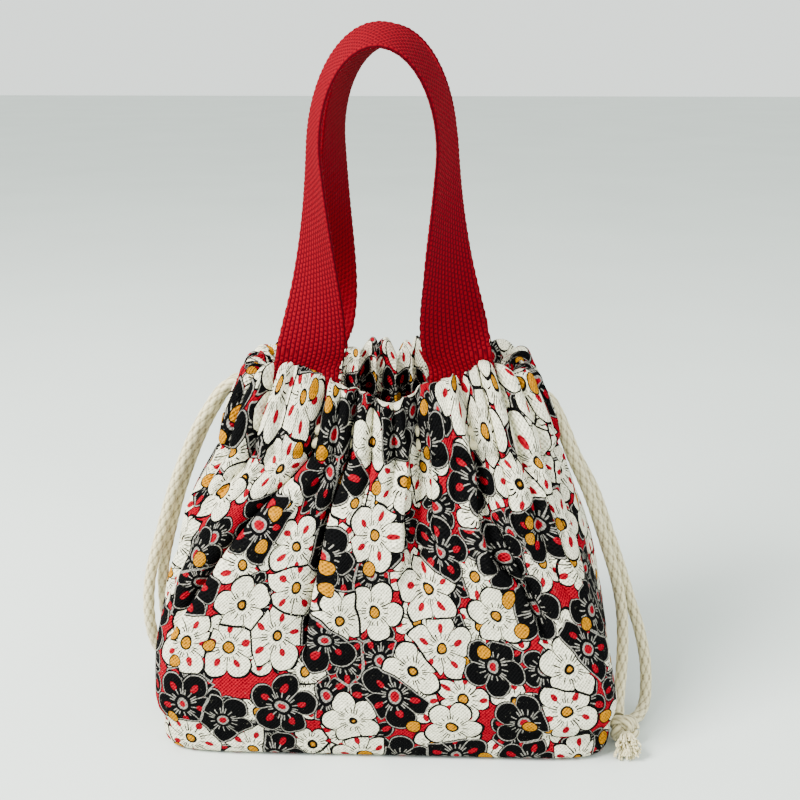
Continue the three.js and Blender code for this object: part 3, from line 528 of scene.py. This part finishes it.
def outlineTable():  # x, y and outward normal at each millimetre of height and at even shares of the way round
    s, top = bagSizes, bagSizes["heights"][-1]
    angle = np.linspace(math.pi, 3 * math.pi, outlineSizes["points"])
    rows, lengths = [], []
    for z in range(outlineSizes["levels"]):
        t = (z - neck) / (top - neck)
        if t > 0:  # the casing's wall is straight
            width, depth = ((1 - t) * s[key][-2] + t * s[key][-1] for key in ("widths", "depths"))
        else:
            width, depth = (throughHeights(s["heights"], s[key], z) for key in ("widths", "depths"))
        square = s["squareness"][0] + (s["squareness"][1] - s["squareness"][0]) * z / top
        square += s["boxed"] * (1 - smooth(z, 0, s["boxedTo"]))
        x = width / 2 * np.sign(np.cos(angle)) * np.abs(np.cos(angle)) ** (2 / square)
        y = depth / 2 * np.sign(np.sin(angle)) * np.abs(np.sin(angle)) ** (2 / square)
        along = np.concatenate([[0], np.cumsum(np.hypot(np.diff(x), np.diff(y)))])
        at = np.linspace(0, along[-1], outlineSizes["points"])
        x, y = np.interp(at, along, x), np.interp(at, along, y)
        runX, runY = np.roll(x, -3) - np.roll(x, 3), np.roll(y, -3) - np.roll(y, 3)
        size = np.hypot(runX, runY)
        rows.append(np.stack([x, y, runY / size, -runX / size], axis=-1))
        lengths.append(along[-1])
    rows = np.array(rows)
    rows[:, 0, 2:], rows[:, -1, 2:] = (-1, 0), (-1, 0)
    return rows, np.array(lengths)


outlineRows, outlineLengths = outlineTable()


def quarterAt(z):  # a quarter of the way round at a height, in mm
    return outlineLengths[int(min(z, outlineSizes["levels"] - 1))] / 4


neckQuarter = quarterAt(neck)


def outline(z, shares):  # x, y and the outward normal; share 0 is at the left side and 0.25 at the front
    z, shares = np.broadcast_arrays(np.asarray(z, float), np.asarray(shares, float))
    level = np.clip(z, 0, outlineSizes["levels"] - 1.001)
    at = np.mod(shares, 1.0) * (outlineSizes["points"] - 1)
    i, j = level.astype(int), np.minimum(at.astype(int), outlineSizes["points"] - 2)
    a, b = (level - i)[..., None], (at - j)[..., None]
    found = ((outlineRows[i, j] * (1 - b) + outlineRows[i, j + 1] * b) * (1 - a)
             + (outlineRows[i + 1, j] * (1 - b) + outlineRows[i + 1, j + 1] * b) * a)
    return found[..., 0], found[..., 1], found[..., 2], found[..., 3]


# Points this far out of the outline and along it, on the front half where sign is -1 and else on the back one
def offOutline(z, shares, out, along, sign):
    x, y, outX, outY = outline(z, shares)
    return np.stack([x + outX * out - outY * along, -sign * (y + outY * out + outX * along),
                     np.broadcast_to(z, x.shape)], axis=-1)


# Creases that run down from the casing on each half, from left to right. A place is a share of the way from the
# middle of the face to a side seam, at each of the heights. A crease deepens upwards from its foot, and the cloth
# between two creases swells
creaseSizes = {"heights": (0, 56, 98, neck), "growth": 34, "swell": 1.8, "swellFrom": (32, 100), "swellFade": 14}
creases = {
    "front": [
        {"at": (-0.87, -0.84, -0.79, -0.81), "depth": 2.2, "foot": 74},
        {"at": (-0.71, -0.76, -0.66, -0.6), "depth": 2.8, "foot": 60},
        {"at": (-0.54, -0.65, -0.52, -0.31), "depth": 3.6, "foot": 42},
        {"at": (-0.37, -0.42, -0.34, -0.23), "depth": 1.0, "foot": 84},
        {"at": (-0.2, -0.21, -0.19, -0.15), "depth": 4.2, "foot": 44},
        {"at": (-0.02, -0.03, -0.04, -0.02), "depth": 1.2, "foot": 84},
        {"at": (0.15, 0.14, 0.14, 0.15), "depth": 4.0, "foot": 66},
        {"at": (0.33, 0.31, 0.28, 0.29), "depth": 1.0, "foot": 84},
        {"at": (0.51, 0.52, 0.39, 0.4), "depth": 3.6, "foot": 50},
        {"at": (0.68, 0.67, 0.58, 0.6), "depth": 2.8, "foot": 60},
        {"at": (0.86, 0.8, 0.74, 0.81), "depth": 2.2, "foot": 66},
    ],
    "back": [
        {"at": (-0.86, -0.81, -0.77, -0.81), "depth": 2.2, "foot": 70},
        {"at": (-0.68, -0.66, -0.6, -0.59), "depth": 2.8, "foot": 72},
        {"at": (-0.51, -0.47, -0.38, -0.36), "depth": 3.0, "foot": 72},
        {"at": (-0.33, -0.32, -0.27, -0.27), "depth": 1.2, "foot": 84},
        {"at": (-0.17, -0.17, -0.17, -0.18), "depth": 4.0, "foot": 52},
        {"at": (0.0, 0.03, 0.02, 0.03), "depth": 3.0, "foot": 76},
        {"at": (0.16, 0.15, 0.18, 0.2), "depth": 3.8, "foot": 58},
        {"at": (0.35, 0.38, 0.33, 0.3), "depth": 3.4, "foot": 52},
        {"at": (0.52, 0.59, 0.43, 0.4), "depth": 1.6, "foot": 84},
        {"at": (0.7, 0.7, 0.65, 0.61), "depth": 2.8, "foot": 68},
        {"at": (0.87, 0.85, 0.79, 0.83), "depth": 2.2, "foot": 64},
    ],
}
# Laps, where the cloth on one side of a fold lies on the other side: the fold's edge as (height, place) from its
# foot upwards, the lift in mm, and which side is on top, 1 for the right one and -1 for the left one
lapSizes = {"reach": 15, "hollow": 3, "edge": 0.6, "pull": 3.0, "pullWidth": 2.4}
laps = {
    "front": [
        {"edge": ((50, -0.65), (76, -0.57), (97, -0.505), (113, -0.44), (124, -0.39), (147, -0.25)),
         "lift": 5.6, "top": 1},
        {"edge": ((46, -0.2), (80, -0.19), (99, -0.17), (126, -0.155), (144, -0.13)), "lift": 5.2, "top": 1},
        {"edge": ((86, 0.07), (116, 0.07), (139, 0.08), (160, 0.1)), "lift": 4.2, "top": -1},
        {"edge": ((92, 0.215), (128, 0.22), (148, 0.225)), "lift": 3.8, "top": 1},
        {"edge": ((56, 0.5), (85, 0.44), (98, 0.355), (114, 0.34), (136, 0.36), (156, 0.34)),
         "lift": 5.4, "top": -1},
        {"edge": ((64, 0.52), (85, 0.47), (104, 0.42), (118, 0.4)), "lift": 3.2, "top": -1},
        {"edge": ((70, -0.78), (98, -0.69), (132, -0.63)), "lift": 2.8, "top": 1},
        {"edge": ((74, 0.7), (98, 0.62), (136, 0.62)), "lift": 2.8, "top": -1},
    ],
    "back": [
        {"edge": ((58, -0.155), (98, -0.15), (144, -0.16)), "lift": 4.6, "top": 1},
        {"edge": ((62, 0.13), (98, 0.16), (146, 0.18)), "lift": 4.6, "top": -1},
        {"edge": ((56, 0.41), (98, 0.35), (140, 0.32)), "lift": 5.0, "top": 1},
        {"edge": ((72, -0.45), (98, -0.36), (142, -0.34)), "lift": 4.2, "top": -1},
        {"edge": ((74, 0.72), (98, 0.67), (134, 0.63)), "lift": 2.8, "top": 1},
        {"edge": ((78, -0.64), (98, -0.58), (134, -0.57)), "lift": 2.8, "top": -1},
    ],
}
# Gathers at the neck between creases, in mm round from the middle. The webbing holds the cloth flat in two places
gathers = {
    "front": {"seed": 3, "creases": (-108, -99, -91, -82, -72, -61, -51, -31, -23, -15, -6, 4, 15, 24, 31, 40, 51,
                                     61, 71, 82, 91, 99, 108)},
    "back": {"seed": 11, "creases": (-108, -98, -90, -82, -70, -60, -50, -36, -27, -18, -8, 3, 12, 20, 30, 40, 51,
                                     62, 73, 84, 92, 99, 108)},
}
gatherSizes = {"flat": ((-51, -21), (19, 49)), "flatShare": 0.3, "tall": (0.5, 0.78), "ends": (88, 120)}
for side in gathers.values():
    rng = random.Random(side["seed"])
    side["tall"] = []
    for low, high in zip(side["creases"], side["creases"][1:]):
        held = any(a < (low + high) / 2 < b for a, b in gatherSizes["flat"])
        share = rng.uniform(*gatherSizes["tall"]) * (gatherSizes["flatShare"] if held else 1)
        side["tall"].append((high - low) * share)
    side["ends"] = [rng.uniform(*gatherSizes["ends"]) for _ in side["tall"]]
    side["waves"] = [(rng.uniform(0.02, 0.16), rng.uniform(0.02, 0.1), rng.uniform(0, 6.3)) for _ in range(14)]

# The slack above the base's edge: a shallow fold that rises and deepens towards the corners, in mm
baseFold = {"below": 40, "level": 11, "climb": 5, "wave": 2.2, "depth": 2.4, "height": 3.2, "swellAbove": 9,
            "swell": 1.2, "swellHeight": 5}


def creasePlaces(which, z):  # the creases at a height, between the two side seams
    z = min(z, neck)
    return np.array([-1.0, *(throughHeights(creaseSizes["heights"], c["at"], z) for c in creases[which]), 1.0])


def columnPlaces(which, z):  # from -1 at the left seam to 1 at the right one, and the columns follow the creases
    even = (creasePlaces(which, creaseSizes["heights"][1]) + creasePlaces(which, neck)) / 2
    return np.interp(np.linspace(-1, 1, clothSizes["columns"] + 1), even, creasePlaces(which, z))


def between(edges, at):  # which edge each place comes after, and its share of the way on to the next one
    i = np.clip(np.searchsorted(edges, at, side="right") - 1, 0, len(edges) - 2)
    return i, np.clip((at - edges[i]) / (edges[i + 1] - edges[i]), 0, 1)


def betweenCreases(which, places, z):
    depths = [c["depth"] * float(smooth(z, c["foot"], c["foot"] + creaseSizes["growth"])) for c in creases[which]]
    depths = np.array([0.0, *depths, 0.0])
    i, part = between(creasePlaces(which, z), places)
    depth = depths[i] * (1 - part) + depths[i + 1] * part
    full = creaseSizes["swell"] * smooth(z, *creaseSizes["swellFrom"])
    full = full * (1 - smooth(z, neck - creaseSizes["swellFade"], neck)) * (1 - smooth(np.abs(places), 0.7, 0.9))
    return np.sin(math.pi * part) ** 0.7 * (depth + full) - depth


def puffs(side, atNeck, z):  # the gathers' rounded lobes, deepest at the neck, and each lobe's profile
    i, part = between(np.array(side["creases"], float), atNeck)
    profile = np.sin(math.pi * part) ** 0.6
    grown = smooth(z, np.array(side["ends"])[i], neck + 1)
    return np.array(side["tall"])[i] * grown * (profile - 0.3), profile


def lapShape(which, places, z):  # how far the laps lift the cloth, and how far they draw it sideways
    s = lapSizes
    lift, along = np.zeros_like(places), np.zeros_like(places)
    for lap in laps[which]:
        heights, edge = zip(*lap["edge"])
        low, high = heights[0], heights[-1]
        strength = smooth(z, low - 6, low + 22) * (1 - smooth(z, high - 12, high + 4))
        if strength == 0:
            continue
        # In mm from the fold's edge, more than 0 on the side that is on top
        away = (places - np.interp(z, heights, edge)) * quarterAt(z) * lap["top"]
        under = np.minimum(away, 0)
        upper = 0.5 * np.exp(-(np.maximum(away, 0) / s["reach"]) ** 2)
        lower = 0.4 * np.exp(-(under / s["reach"]) ** 2) + 0.4 * np.exp(-(under / s["hollow"]) ** 2)
        step = (1 + np.tanh(away / s["edge"])) / 2
        lift += strength * lap["lift"] * (upper * step - lower * (1 - step))
        pull = min(s["pull"], lap["lift"] * 0.7)
        along -= strength * lap["top"] * pull * np.exp(-((away - 0.8) / s["pullWidth"]) ** 2)
    return lift, along


def softWaves(side, place, z):  # the slack of the cloth, a few tenths of a millimetre to a millimetre
    total = np.zeros_like(place)
    for k, (across, up, phase) in enumerate(side["waves"]):
        total += np.sin(across * place + up * z * (1 if k % 2 else -1) + phase) * 0.2
    return total


def drawn(which, places, z):  # how far the cloth stands out of the outline and along it, and its lobes' profile
    side, s = gathers[which], baseFold
    atNeck = np.interp(places, creasePlaces(which, z), creasePlaces(which, neck)) * neckQuarter
    fromSeam = neckQuarter - np.abs(atNeck)
    lobes, profile = puffs(side, atNeck, z)
    lift, along = lapShape(which, places, z)
    bySeam = smooth(fromSeam, 0, 9)
    out = betweenCreases(which, places, z) + (lobes + lift) * bySeam
    out += softWaves(side, places * quarterAt(z), z) * smooth(z, 6, 40)
    out -= clothSizes["stitchDepth"] * math.exp(-((z - neck) / 2.4) ** 2)  # the stitch line under the casing
    out -= clothSizes["seamDepth"] * np.exp(-(fromSeam / 1.2) ** 2)  # the side seam
    if z < s["below"]:
        corner = smooth(np.abs(places), 0.12, 0.5) * (0.6 + 0.4 * np.sin(9 * places + side["seed"]))
        level = s["level"] + s["climb"] * np.abs(places) + s["wave"] * np.sin(14 * places + side["seed"])
        out -= s["depth"] * corner * np.exp(-((z - level) / s["height"]) ** 2)
        out += s["swell"] * corner * np.exp(-((z - level - s["swellAbove"]) / s["swellHeight"]) ** 2)
    return out, along * bySeam, profile


def beneath(values, reach):  # the lowest value near each point, smoothed
    padded = np.pad(values, reach, mode="edge")
    low = np.min([padded[i:i + len(values)] for i in range(2 * reach + 1)], axis=0)
    padded = np.pad(low, reach // 2, mode="edge")
    return np.mean([padded[i:i + len(values)] for i in range(2 * (reach // 2) + 1)], axis=0)


def placed(which, places, z, sign, inset=0.0):  # points of the cloth at a height
    out, along, _ = drawn(which, places, z)
    if inset > 0:  # the lining follows the folds loosely
        out, along = beneath(out, 6) - inset, along * 0
    fromRight = (1 - places) * quarterAt(z)
    shift = bagSizes["lean"] * smooth(z, 20, 60) * (1 - smooth(z, 110, 138))
    points = offOutline(z, (places + 1) / 4, out, along, sign)
    # The seam allowances hold the cloth at the right side
    points[:, 0] += shift * (1 - np.exp(-(fromRight / bagSizes["heldAtSeam"]) ** 4))
    return points


def wallRows(which, sign, inset):  # rows of one half from the bottom seam up to the neck, and their UVs
    foot, floorGap = bagSizes["foot"], 0.35
    places = columnPlaces(which, 0)
    shares = (places + 1) / 4
    rows, across = [], [places] * (clothSizes["bottomRows"] + clothSizes["footRows"])
    edge = offOutline(0, shares, -foot, 0, sign)
    spine = np.zeros_like(edge)
    spine[:, 0] = np.clip(edge[:, 0], -bagSizes["bottomSeam"] / 2, bagSizes["bottomSeam"] / 2)
    for t in np.linspace(1, 0, clothSizes["bottomRows"], endpoint=False):
        rows.append(edge * (1 - t) + spine * t)
        rows[-1][:, 2] = floorGap + inset + 0.25 * math.sin(9 * t)
    for a in np.linspace(0, math.pi / 2, clothSizes["footRows"], endpoint=False):  # the rounded foot
        rows.append(offOutline(foot * 0.5, shares, (foot - inset) * math.sin(a) - foot, 0, sign))
        rows[-1][:, 2] = floorGap + foot - (foot - inset) * math.cos(a)
    for z in np.linspace(foot + floorGap, neck, int((neck - foot) / clothSizes["step"]) + 1):
        across.append(columnPlaces(which, z))
        rows.append(placed(which, across[-1], z, sign, inset))
    rows = np.array(rows)
    up = travelled(rows[:, len(places) // 2])
    across = np.array(across) * bagSizes["flatWidth"] / 2 * -sign + (400 if sign > 0 else 0)
    return rows, np.stack(np.broadcast_arrays(across, up[:, None]), axis=-1)


def giveThickness(bm, thickness):  # a second skin behind the cloth's face, joined to it all the way round
    bm.normal_update()
    skin = bmesh.ops.extrude_face_region(bm, geom=bm.verts[:] + bm.edges[:] + bm.faces[:], use_keep_orig=True)
    for vert in skin["geom"]:
        if isinstance(vert, bmesh.types.BMVert):
            vert.co -= vert.normal * thickness * mm
    bmesh.ops.recalc_face_normals(bm, faces=bm.faces[:])
    return bm


def cutPiece(mesh, keepFace, thickness, sign):  # the half's face or its side strips, with their thickness
    bm = bmesh.new()
    bm.from_mesh(mesh)
    cut = clothSizes["seamStrip"] * mm * sign
    bmesh.ops.bisect_plane(bm, geom=bm.verts[:] + bm.edges[:] + bm.faces[:], dist=1e-7, plane_co=(0, cut, 0),
                           plane_no=(0, sign, 0), clear_inner=keepFace, clear_outer=not keepFace)
    return giveThickness(bm, thickness)


def turnedRows(rows, uvs, sign):  # the back half's columns run the other way, so that its faces point outwards
    return (rows[:, ::-1], uvs[:, ::-1]) if sign > 0 else (rows, uvs)


print("walls and lining")
for which, sign in halves:
    for layer, inset, thickness, material, slot in (
            ("outer", 0.0, clothSizes["thickness"], printedCanvas, "canvas"),
            ("lining", clothSizes["liningGap"], clothSizes["liningThickness"], liningCotton, "lining")):
        rows, uvs = turnedRows(*wallRows(which, sign, inset), sign)
        mesh = gridMesh(layer, rows, uvs)
        face = pieceOf(f"{layer}_cloth_{which}", cutPiece(mesh, True, thickness, sign), material)
        strip = pieceOf(f"{layer}_cloth_{which}_sides", cutPiece(mesh, False, thickness, sign), material)
        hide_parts(f"{layer}_{which}")
        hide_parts(f"{layer}_{which}")
        high, blend = neck * mm, clothSizes["blendHeight"] * mm
        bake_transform(face)
        start = np.array((0, 0, high))
        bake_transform(strip)

# The casing: the cloth's top folded over the cords, out and up, over the lip and down the inside. The lip begins
# at a share of its height, and the webbing holds it at two places, in mm round from the middle
casingSizes = {"thickness": 9.8, "lip": 6.4, "lipFrom": 0.86, "bulge": 1.8, "outerRows": 26, "lipRows": 10,
               "innerRows": 20, "scallop": 2.6, "webbingAt": 35, "webbingHalf": 15, "slitHalf": 7.2,
               "slitHeight": 11.5, "slits": ((-1.0, 163.5), (1.0, 157.5))}
lipHeights = {
    "front": ((-75, 175), (-64, 178), (-52, 180), (-36, 175), (-22, 170), (-14, 168), (-3, 164), (6, 164),
              (14, 167), (20, 171), (35, 175), (47, 177), (52, 182), (60, 180), (75, 174)),
    "back": ((-75, 174), (-60, 178), (-45, 178), (-32, 174), (-20, 173), (-8, 177), (4, 173), (16, 177),
             (30, 175), (50, 180), (64, 177), (75, 175)),
}


def casingRows(which, sign):
    s, stitch = casingSizes, clothSizes["stitchDepth"]
    places = columnPlaces(which, neck)
    neckPlace = places * neckQuarter
    profile = drawn(which, places, neck)[2]
    loose = smooth(np.abs(np.abs(neckPlace) - s["webbingAt"]), s["webbingHalf"], s["webbingHalf"] + 5)
    top = np.interp(neckPlace, *zip(*lipHeights[which]))
    top = top + s["scallop"] * (profile - 0.6) * (0.05 + 0.95 * loose)
    rng = random.Random(gathers[which]["seed"] + 40)
    for _ in range(8):
        top += 0.35 * loose * np.sin(rng.uniform(0.15, 0.7) * neckPlace + rng.uniform(0, 6.3))

    # Each row's share of the height and how far in it lies: up the outside, over the lip and down the inside
    lip, lipFrom = s["lip"], s["lipFrom"]
    steps = [(f, 0.0) for f in np.linspace(0, lipFrom, s["outerRows"] + 1)[:-1]]
    for a in np.linspace(0, math.pi, s["lipRows"] + 1)[:-1]:
        steps.append((lipFrom + (1 - lipFrom) * math.sin(a), lip / 2 * (1 - math.cos(a))))
    for f in np.linspace(lipFrom, 0.0, s["innerRows"] + 1):
        steps.append((f, lip + (s["thickness"] - lip) * (1 - f / lipFrom) ** 0.5))
    rows = [placed(which, places, neck, sign)]
    for f, inset in steps[1:]:
        z = neck + f * (top - neck)
        inner = min(1.0, inset / lip)
        moved = places
        for slit, height in s["slits"]:  # the cloth parts round the cords
            rise = (z - height) / s["slitHeight"]
            gap = s["slitHalf"] * np.sqrt(np.clip(1 - rise * rise, 0, 1)) / neckQuarter * (1 - inner)
            moved = moved - slit * gap * (1 - smooth(np.abs(places - slit), 0, 0.28))
        out, along, _ = drawn(which, moved, neck)
        out = out + stitch
        pinch = smooth(np.array(f), 0.0, 0.1)
        bulge = s["bulge"] * math.sin(math.pi * min(1, f / 0.8)) ** 0.8
        outer = out * (1 + 0.2 * f) + bulge - stitch * (1 - pinch)
        inward = 0.75 * (out - 4.5) * smooth(neckQuarter - np.abs(neckPlace), 0, 9) - bulge - inset
        shift = outer * (1 - inner) + inward * inner
        rows.append(offOutline(z, (moved + 1) / 4, shift, along * (1 - f), sign))
    rows = np.array(rows)
    return rows, travelled(rows[:, len(places) // 2])


print("casing")
for which, sign in halves:
    wallUvs = wallRows(which, sign, 0.0)[1]
    rows, up = casingRows(which, sign)
    uvs = np.stack(np.broadcast_arrays(wallUvs[-1, :, 0][None, :], (up + wallUvs[-1, 0, 1])[:, None]), axis=-1)
    rows, uvs = turnedRows(rows, uvs, sign)
    bm = bmesh.new()
    bm.from_mesh(gridMesh("casing", rows, uvs))
    casing = pieceOf("casing_cloth_" + which, giveThickness(bm, 0.8), printedCanvas)
    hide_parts("casing_" + which, "facing_" + which, "casing_side_left", "casing_side_right")
    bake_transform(casing)

# The cords' stretches inside the casing, each cord at its own level, from its own slit all the way round
print("cords in the casing")
insideSizes = {"inset": 4.9, "levels": {"left": 144.6, "right": 150.2}, "leadShare": 0.07, "step": 2.0}
for name, start in (("left", 0.0), ("right", 0.5)):
    exitHeight = strandRoutes[name + "_front"][0][2]
    level = insideSizes["levels"][name]
    for which, sign in halves:
        shares = np.linspace(0.012, 0.488, 120)
        z = level + (exitHeight - level) * (1 - smooth(np.abs(shares - start), 0.0, insideSizes["leadShare"]))
        path = evenly(offOutline(z, shares, -insideSizes["inset"], 0, sign), insideSizes["step"])
        bm = tube(name, path, cordSizes["diameter"] / 2 - 0.1, 12)
        cord = pieceOf(f"{name}_cord_{which}_inside", bm, cordCotton)
        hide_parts(f"{name}_cord_{which}_run", f"{name}_cord_{which}_lead", f"{name}_cord_turn")
        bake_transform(cord)

# Webbing handles, each one length from inside the casing, over its arch and back. It lies flat against the bag
# at its feet and turns through a right angle on the way up. The back face's bumps are moved by "backFace"
handleSizes = {"x": -1, "y": 24, "fold": 176, "height": 145, "span": 54, "rise": 48, "bottom": 35, "lean": 11,
               "flat": 8, "twist": 52, "legShare": 0.3, "legCurve": 3.2, "tail": 20, "width": 30,
               "thickness": 2.0, "edge": 1.2, "across": 61, "step": 0.55, "column": 2.0, "rib": 2.2,
               "relief": 0.36, "backFace": (1.2, 0.8), "scallop": 0.011}


def handlePath(step):
    s = handleSizes
    straight, top = s["height"] - s["rise"], s["span"] / 2
    points = [(-s["bottom"], -s["tail"])]
    for t in np.linspace(0, 1, 1600):
        if t < s["legShare"] or t > 1 - s["legShare"]:
            part = min(t, 1 - t) / s["legShare"]
            bend = (s["bottom"] - top) * math.exp(-s["legCurve"] * part) * (1 - part)
            points.append((math.copysign(top + bend, t - 0.5), straight * part))
        else:
            angle = math.pi * (1 - (t - s["legShare"]) / (1 - 2 * s["legShare"]))
            points.append((top * math.cos(angle), straight + s["rise"] * math.sin(angle)))
    points.append((s["bottom"], -s["tail"]))
    path = np.column_stack([points, np.zeros(len(points))])
    return evenly(path, step)[:, :2]


def webbingRelief(across, along):  # 0 to 1: small bumps in columns, each column half a bump further on
    column = across / handleSizes["column"]
    inColumn = column - np.floor(column)
    shift = 0.5 * (np.floor(column) % 2) + 0.35 * (inColumn - 0.5)
    bump = np.abs(np.sin(math.pi * (along / handleSizes["rib"] + shift)))
    return bump ** 0.6 * np.sin(math.pi * inColumn) ** 0.5


def makeHandle(which, sign):
    s = handleSizes
    line = handlePath(s["step"])
    runs = np.gradient(line, axis=0)
    runs /= np.linalg.norm(runs, axis=1)[:, None]
    outX, outV = -runs[:, 1], runs[:, 0]
    flat = math.pi / 2 * np.exp(-np.maximum(line[:, 1] - s["flat"], 0) / s["twist"])
    across = np.column_stack([np.sin(flat) * outX, np.cos(flat), np.sin(flat) * outV])
    through = np.column_stack([np.cos(flat) * outX, -np.sin(flat), np.cos(flat) * outV])
    low = line[:, 1] <= s["flat"]
    across[low] = np.column_stack([np.sign(line[low, 0]), np.zeros(low.sum()), np.zeros(low.sum())])
    through[low] = (0, -1, 0)
    t = np.linspace(0, 1, s["across"])
    u = np.concatenate([t, t[::-1], [0]]) - 0.5  # out across one face and back across the other
    faceSide = np.concatenate([np.ones(len(t)), -np.ones(len(t)), [1]])
    behind = faceSide < 0
    along = np.arange(len(line))[:, None] * s["step"]
    relief = webbingRelief((u + 0.5) * s["width"] + behind * s["backFace"][0], along + behind * s["backFace"][1])
    thin = np.clip((0.5 - np.abs(u)) * s["width"] / s["edge"], 0, 1) ** 0.5  # the edges are rounded
    depth = (s["thickness"] / 2 - 0.12) * (0.35 + 0.65 * thin) + (relief - 0.55) * s["relief"]
    scallop = 1 + s["scallop"] * np.sin(2 * math.pi * along / (2 * s["rib"]))
    centre = np.column_stack([line[:, 0], np.zeros(len(line)), line[:, 1]])
    places = (centre[:, None] + across[:, None] * (u * s["width"] * scallop)[..., None]
              + through[:, None] * (faceSide * depth)[..., None])
    places[:, -1] = places[:, 0]
    places[..., 1] *= -sign
    tilt = math.radians(s["lean"]) * smooth(places[..., 2], -2, 6)
    y, z = places[..., 1].copy(), places[..., 2].copy()
    places[..., 1] = y * np.cos(tilt) + sign * z * np.sin(tilt)
    places[..., 2] = z * np.cos(tilt) - sign * y * np.sin(tilt)
    places += np.array((s["x"], sign * s["y"], s["fold"]))
    uvs = np.stack(np.broadcast_arrays(u * s["width"] + behind * 40, along), axis=-1)
    if sign > 0:
        places, uvs, relief = places[:, ::-1], uvs[:, ::-1], relief[:, ::-1]
    # how deep each point lies between the webbing's bumps, for its painted shade
    dipShade = np.clip(1 - relief * 1.25, 0, 1) ** 1.3
    bm = closeTube(gridMesh("handle", places, uvs, dipShade), False)
    bmesh.ops.recalc_face_normals(bm, faces=bm.faces[:])
    handle = pieceOf("webbing_handle_" + which, bm, webbingCotton)
    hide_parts("handle_" + which, f"handle_end_{which}_left", f"handle_end_{which}_right")
    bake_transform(handle)


print("handles")
for which, sign in halves:
    makeHandle(which, sign)

# The seam allowances stay as the frame has them, in the lining's plain cloth
for name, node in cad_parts.items():
    if "seam" in name:
        node.data.materials.clear()
        node.data.materials.append(liningCotton)

# A plain pale floor and soft light from above and the front left
studio = {"floor": "#D2D9D5", "key": 80.0, "fill": 10.0, "world": 1.8, "target": (0, 0, 0.12)}


def makeFloor():
    material, shader, add = newMaterial("paleFloor", 0.6, 0.0, 0.2)
    place = add("TexCoord", {}, {}).outputs["Object"]
    mottle = add("TexNoise", {}, {"Vector": place, "Scale": 4.0, "Detail": 2.0})
    tint = add("MixRGB", {}, {"Fac": mottle, "Color1": toLinear("#C6CDC9"), "Color2": toLinear(studio["floor"])})
    finishShader(material, shader, tint, mottle, 0.00005)
    bm = bmesh.new()
    bmesh.ops.create_grid(bm, x_segments=1, y_segments=1, size=6)
    mesh = meshOf("floor", bm)
    mesh.materials.append(material)
    inScene("floor", mesh)


def addLight(name, place, size, power, colour):
    data = bpy.data.lights.new(name, "AREA")
    data.size, data.energy, data.color = size, power, colour
    light = inScene(name, data)
    light.location = place
    light.rotation_euler = (Vector(studio["target"]) - Vector(place)).to_track_quat("-Z", "Y").to_euler()


print("floor and lights")
makeFloor()
addLight("keyLight", (-0.86, -0.58, 1.15), 0.6, studio["key"], (1.0, 0.99, 0.95))
addLight("fillLight", (0.9, -0.5, 0.7), 1.2, studio["fill"], (0.94, 0.97, 1.0))
world = bpy.data.worlds.new("paleRoom")
scene.world = world
world.use_nodes = True
world.node_tree.nodes["Background"].inputs["Color"].default_value = toLinear("#EEF5F0")
world.node_tree.nodes["Background"].inputs["Strength"].default_value = studio["world"]
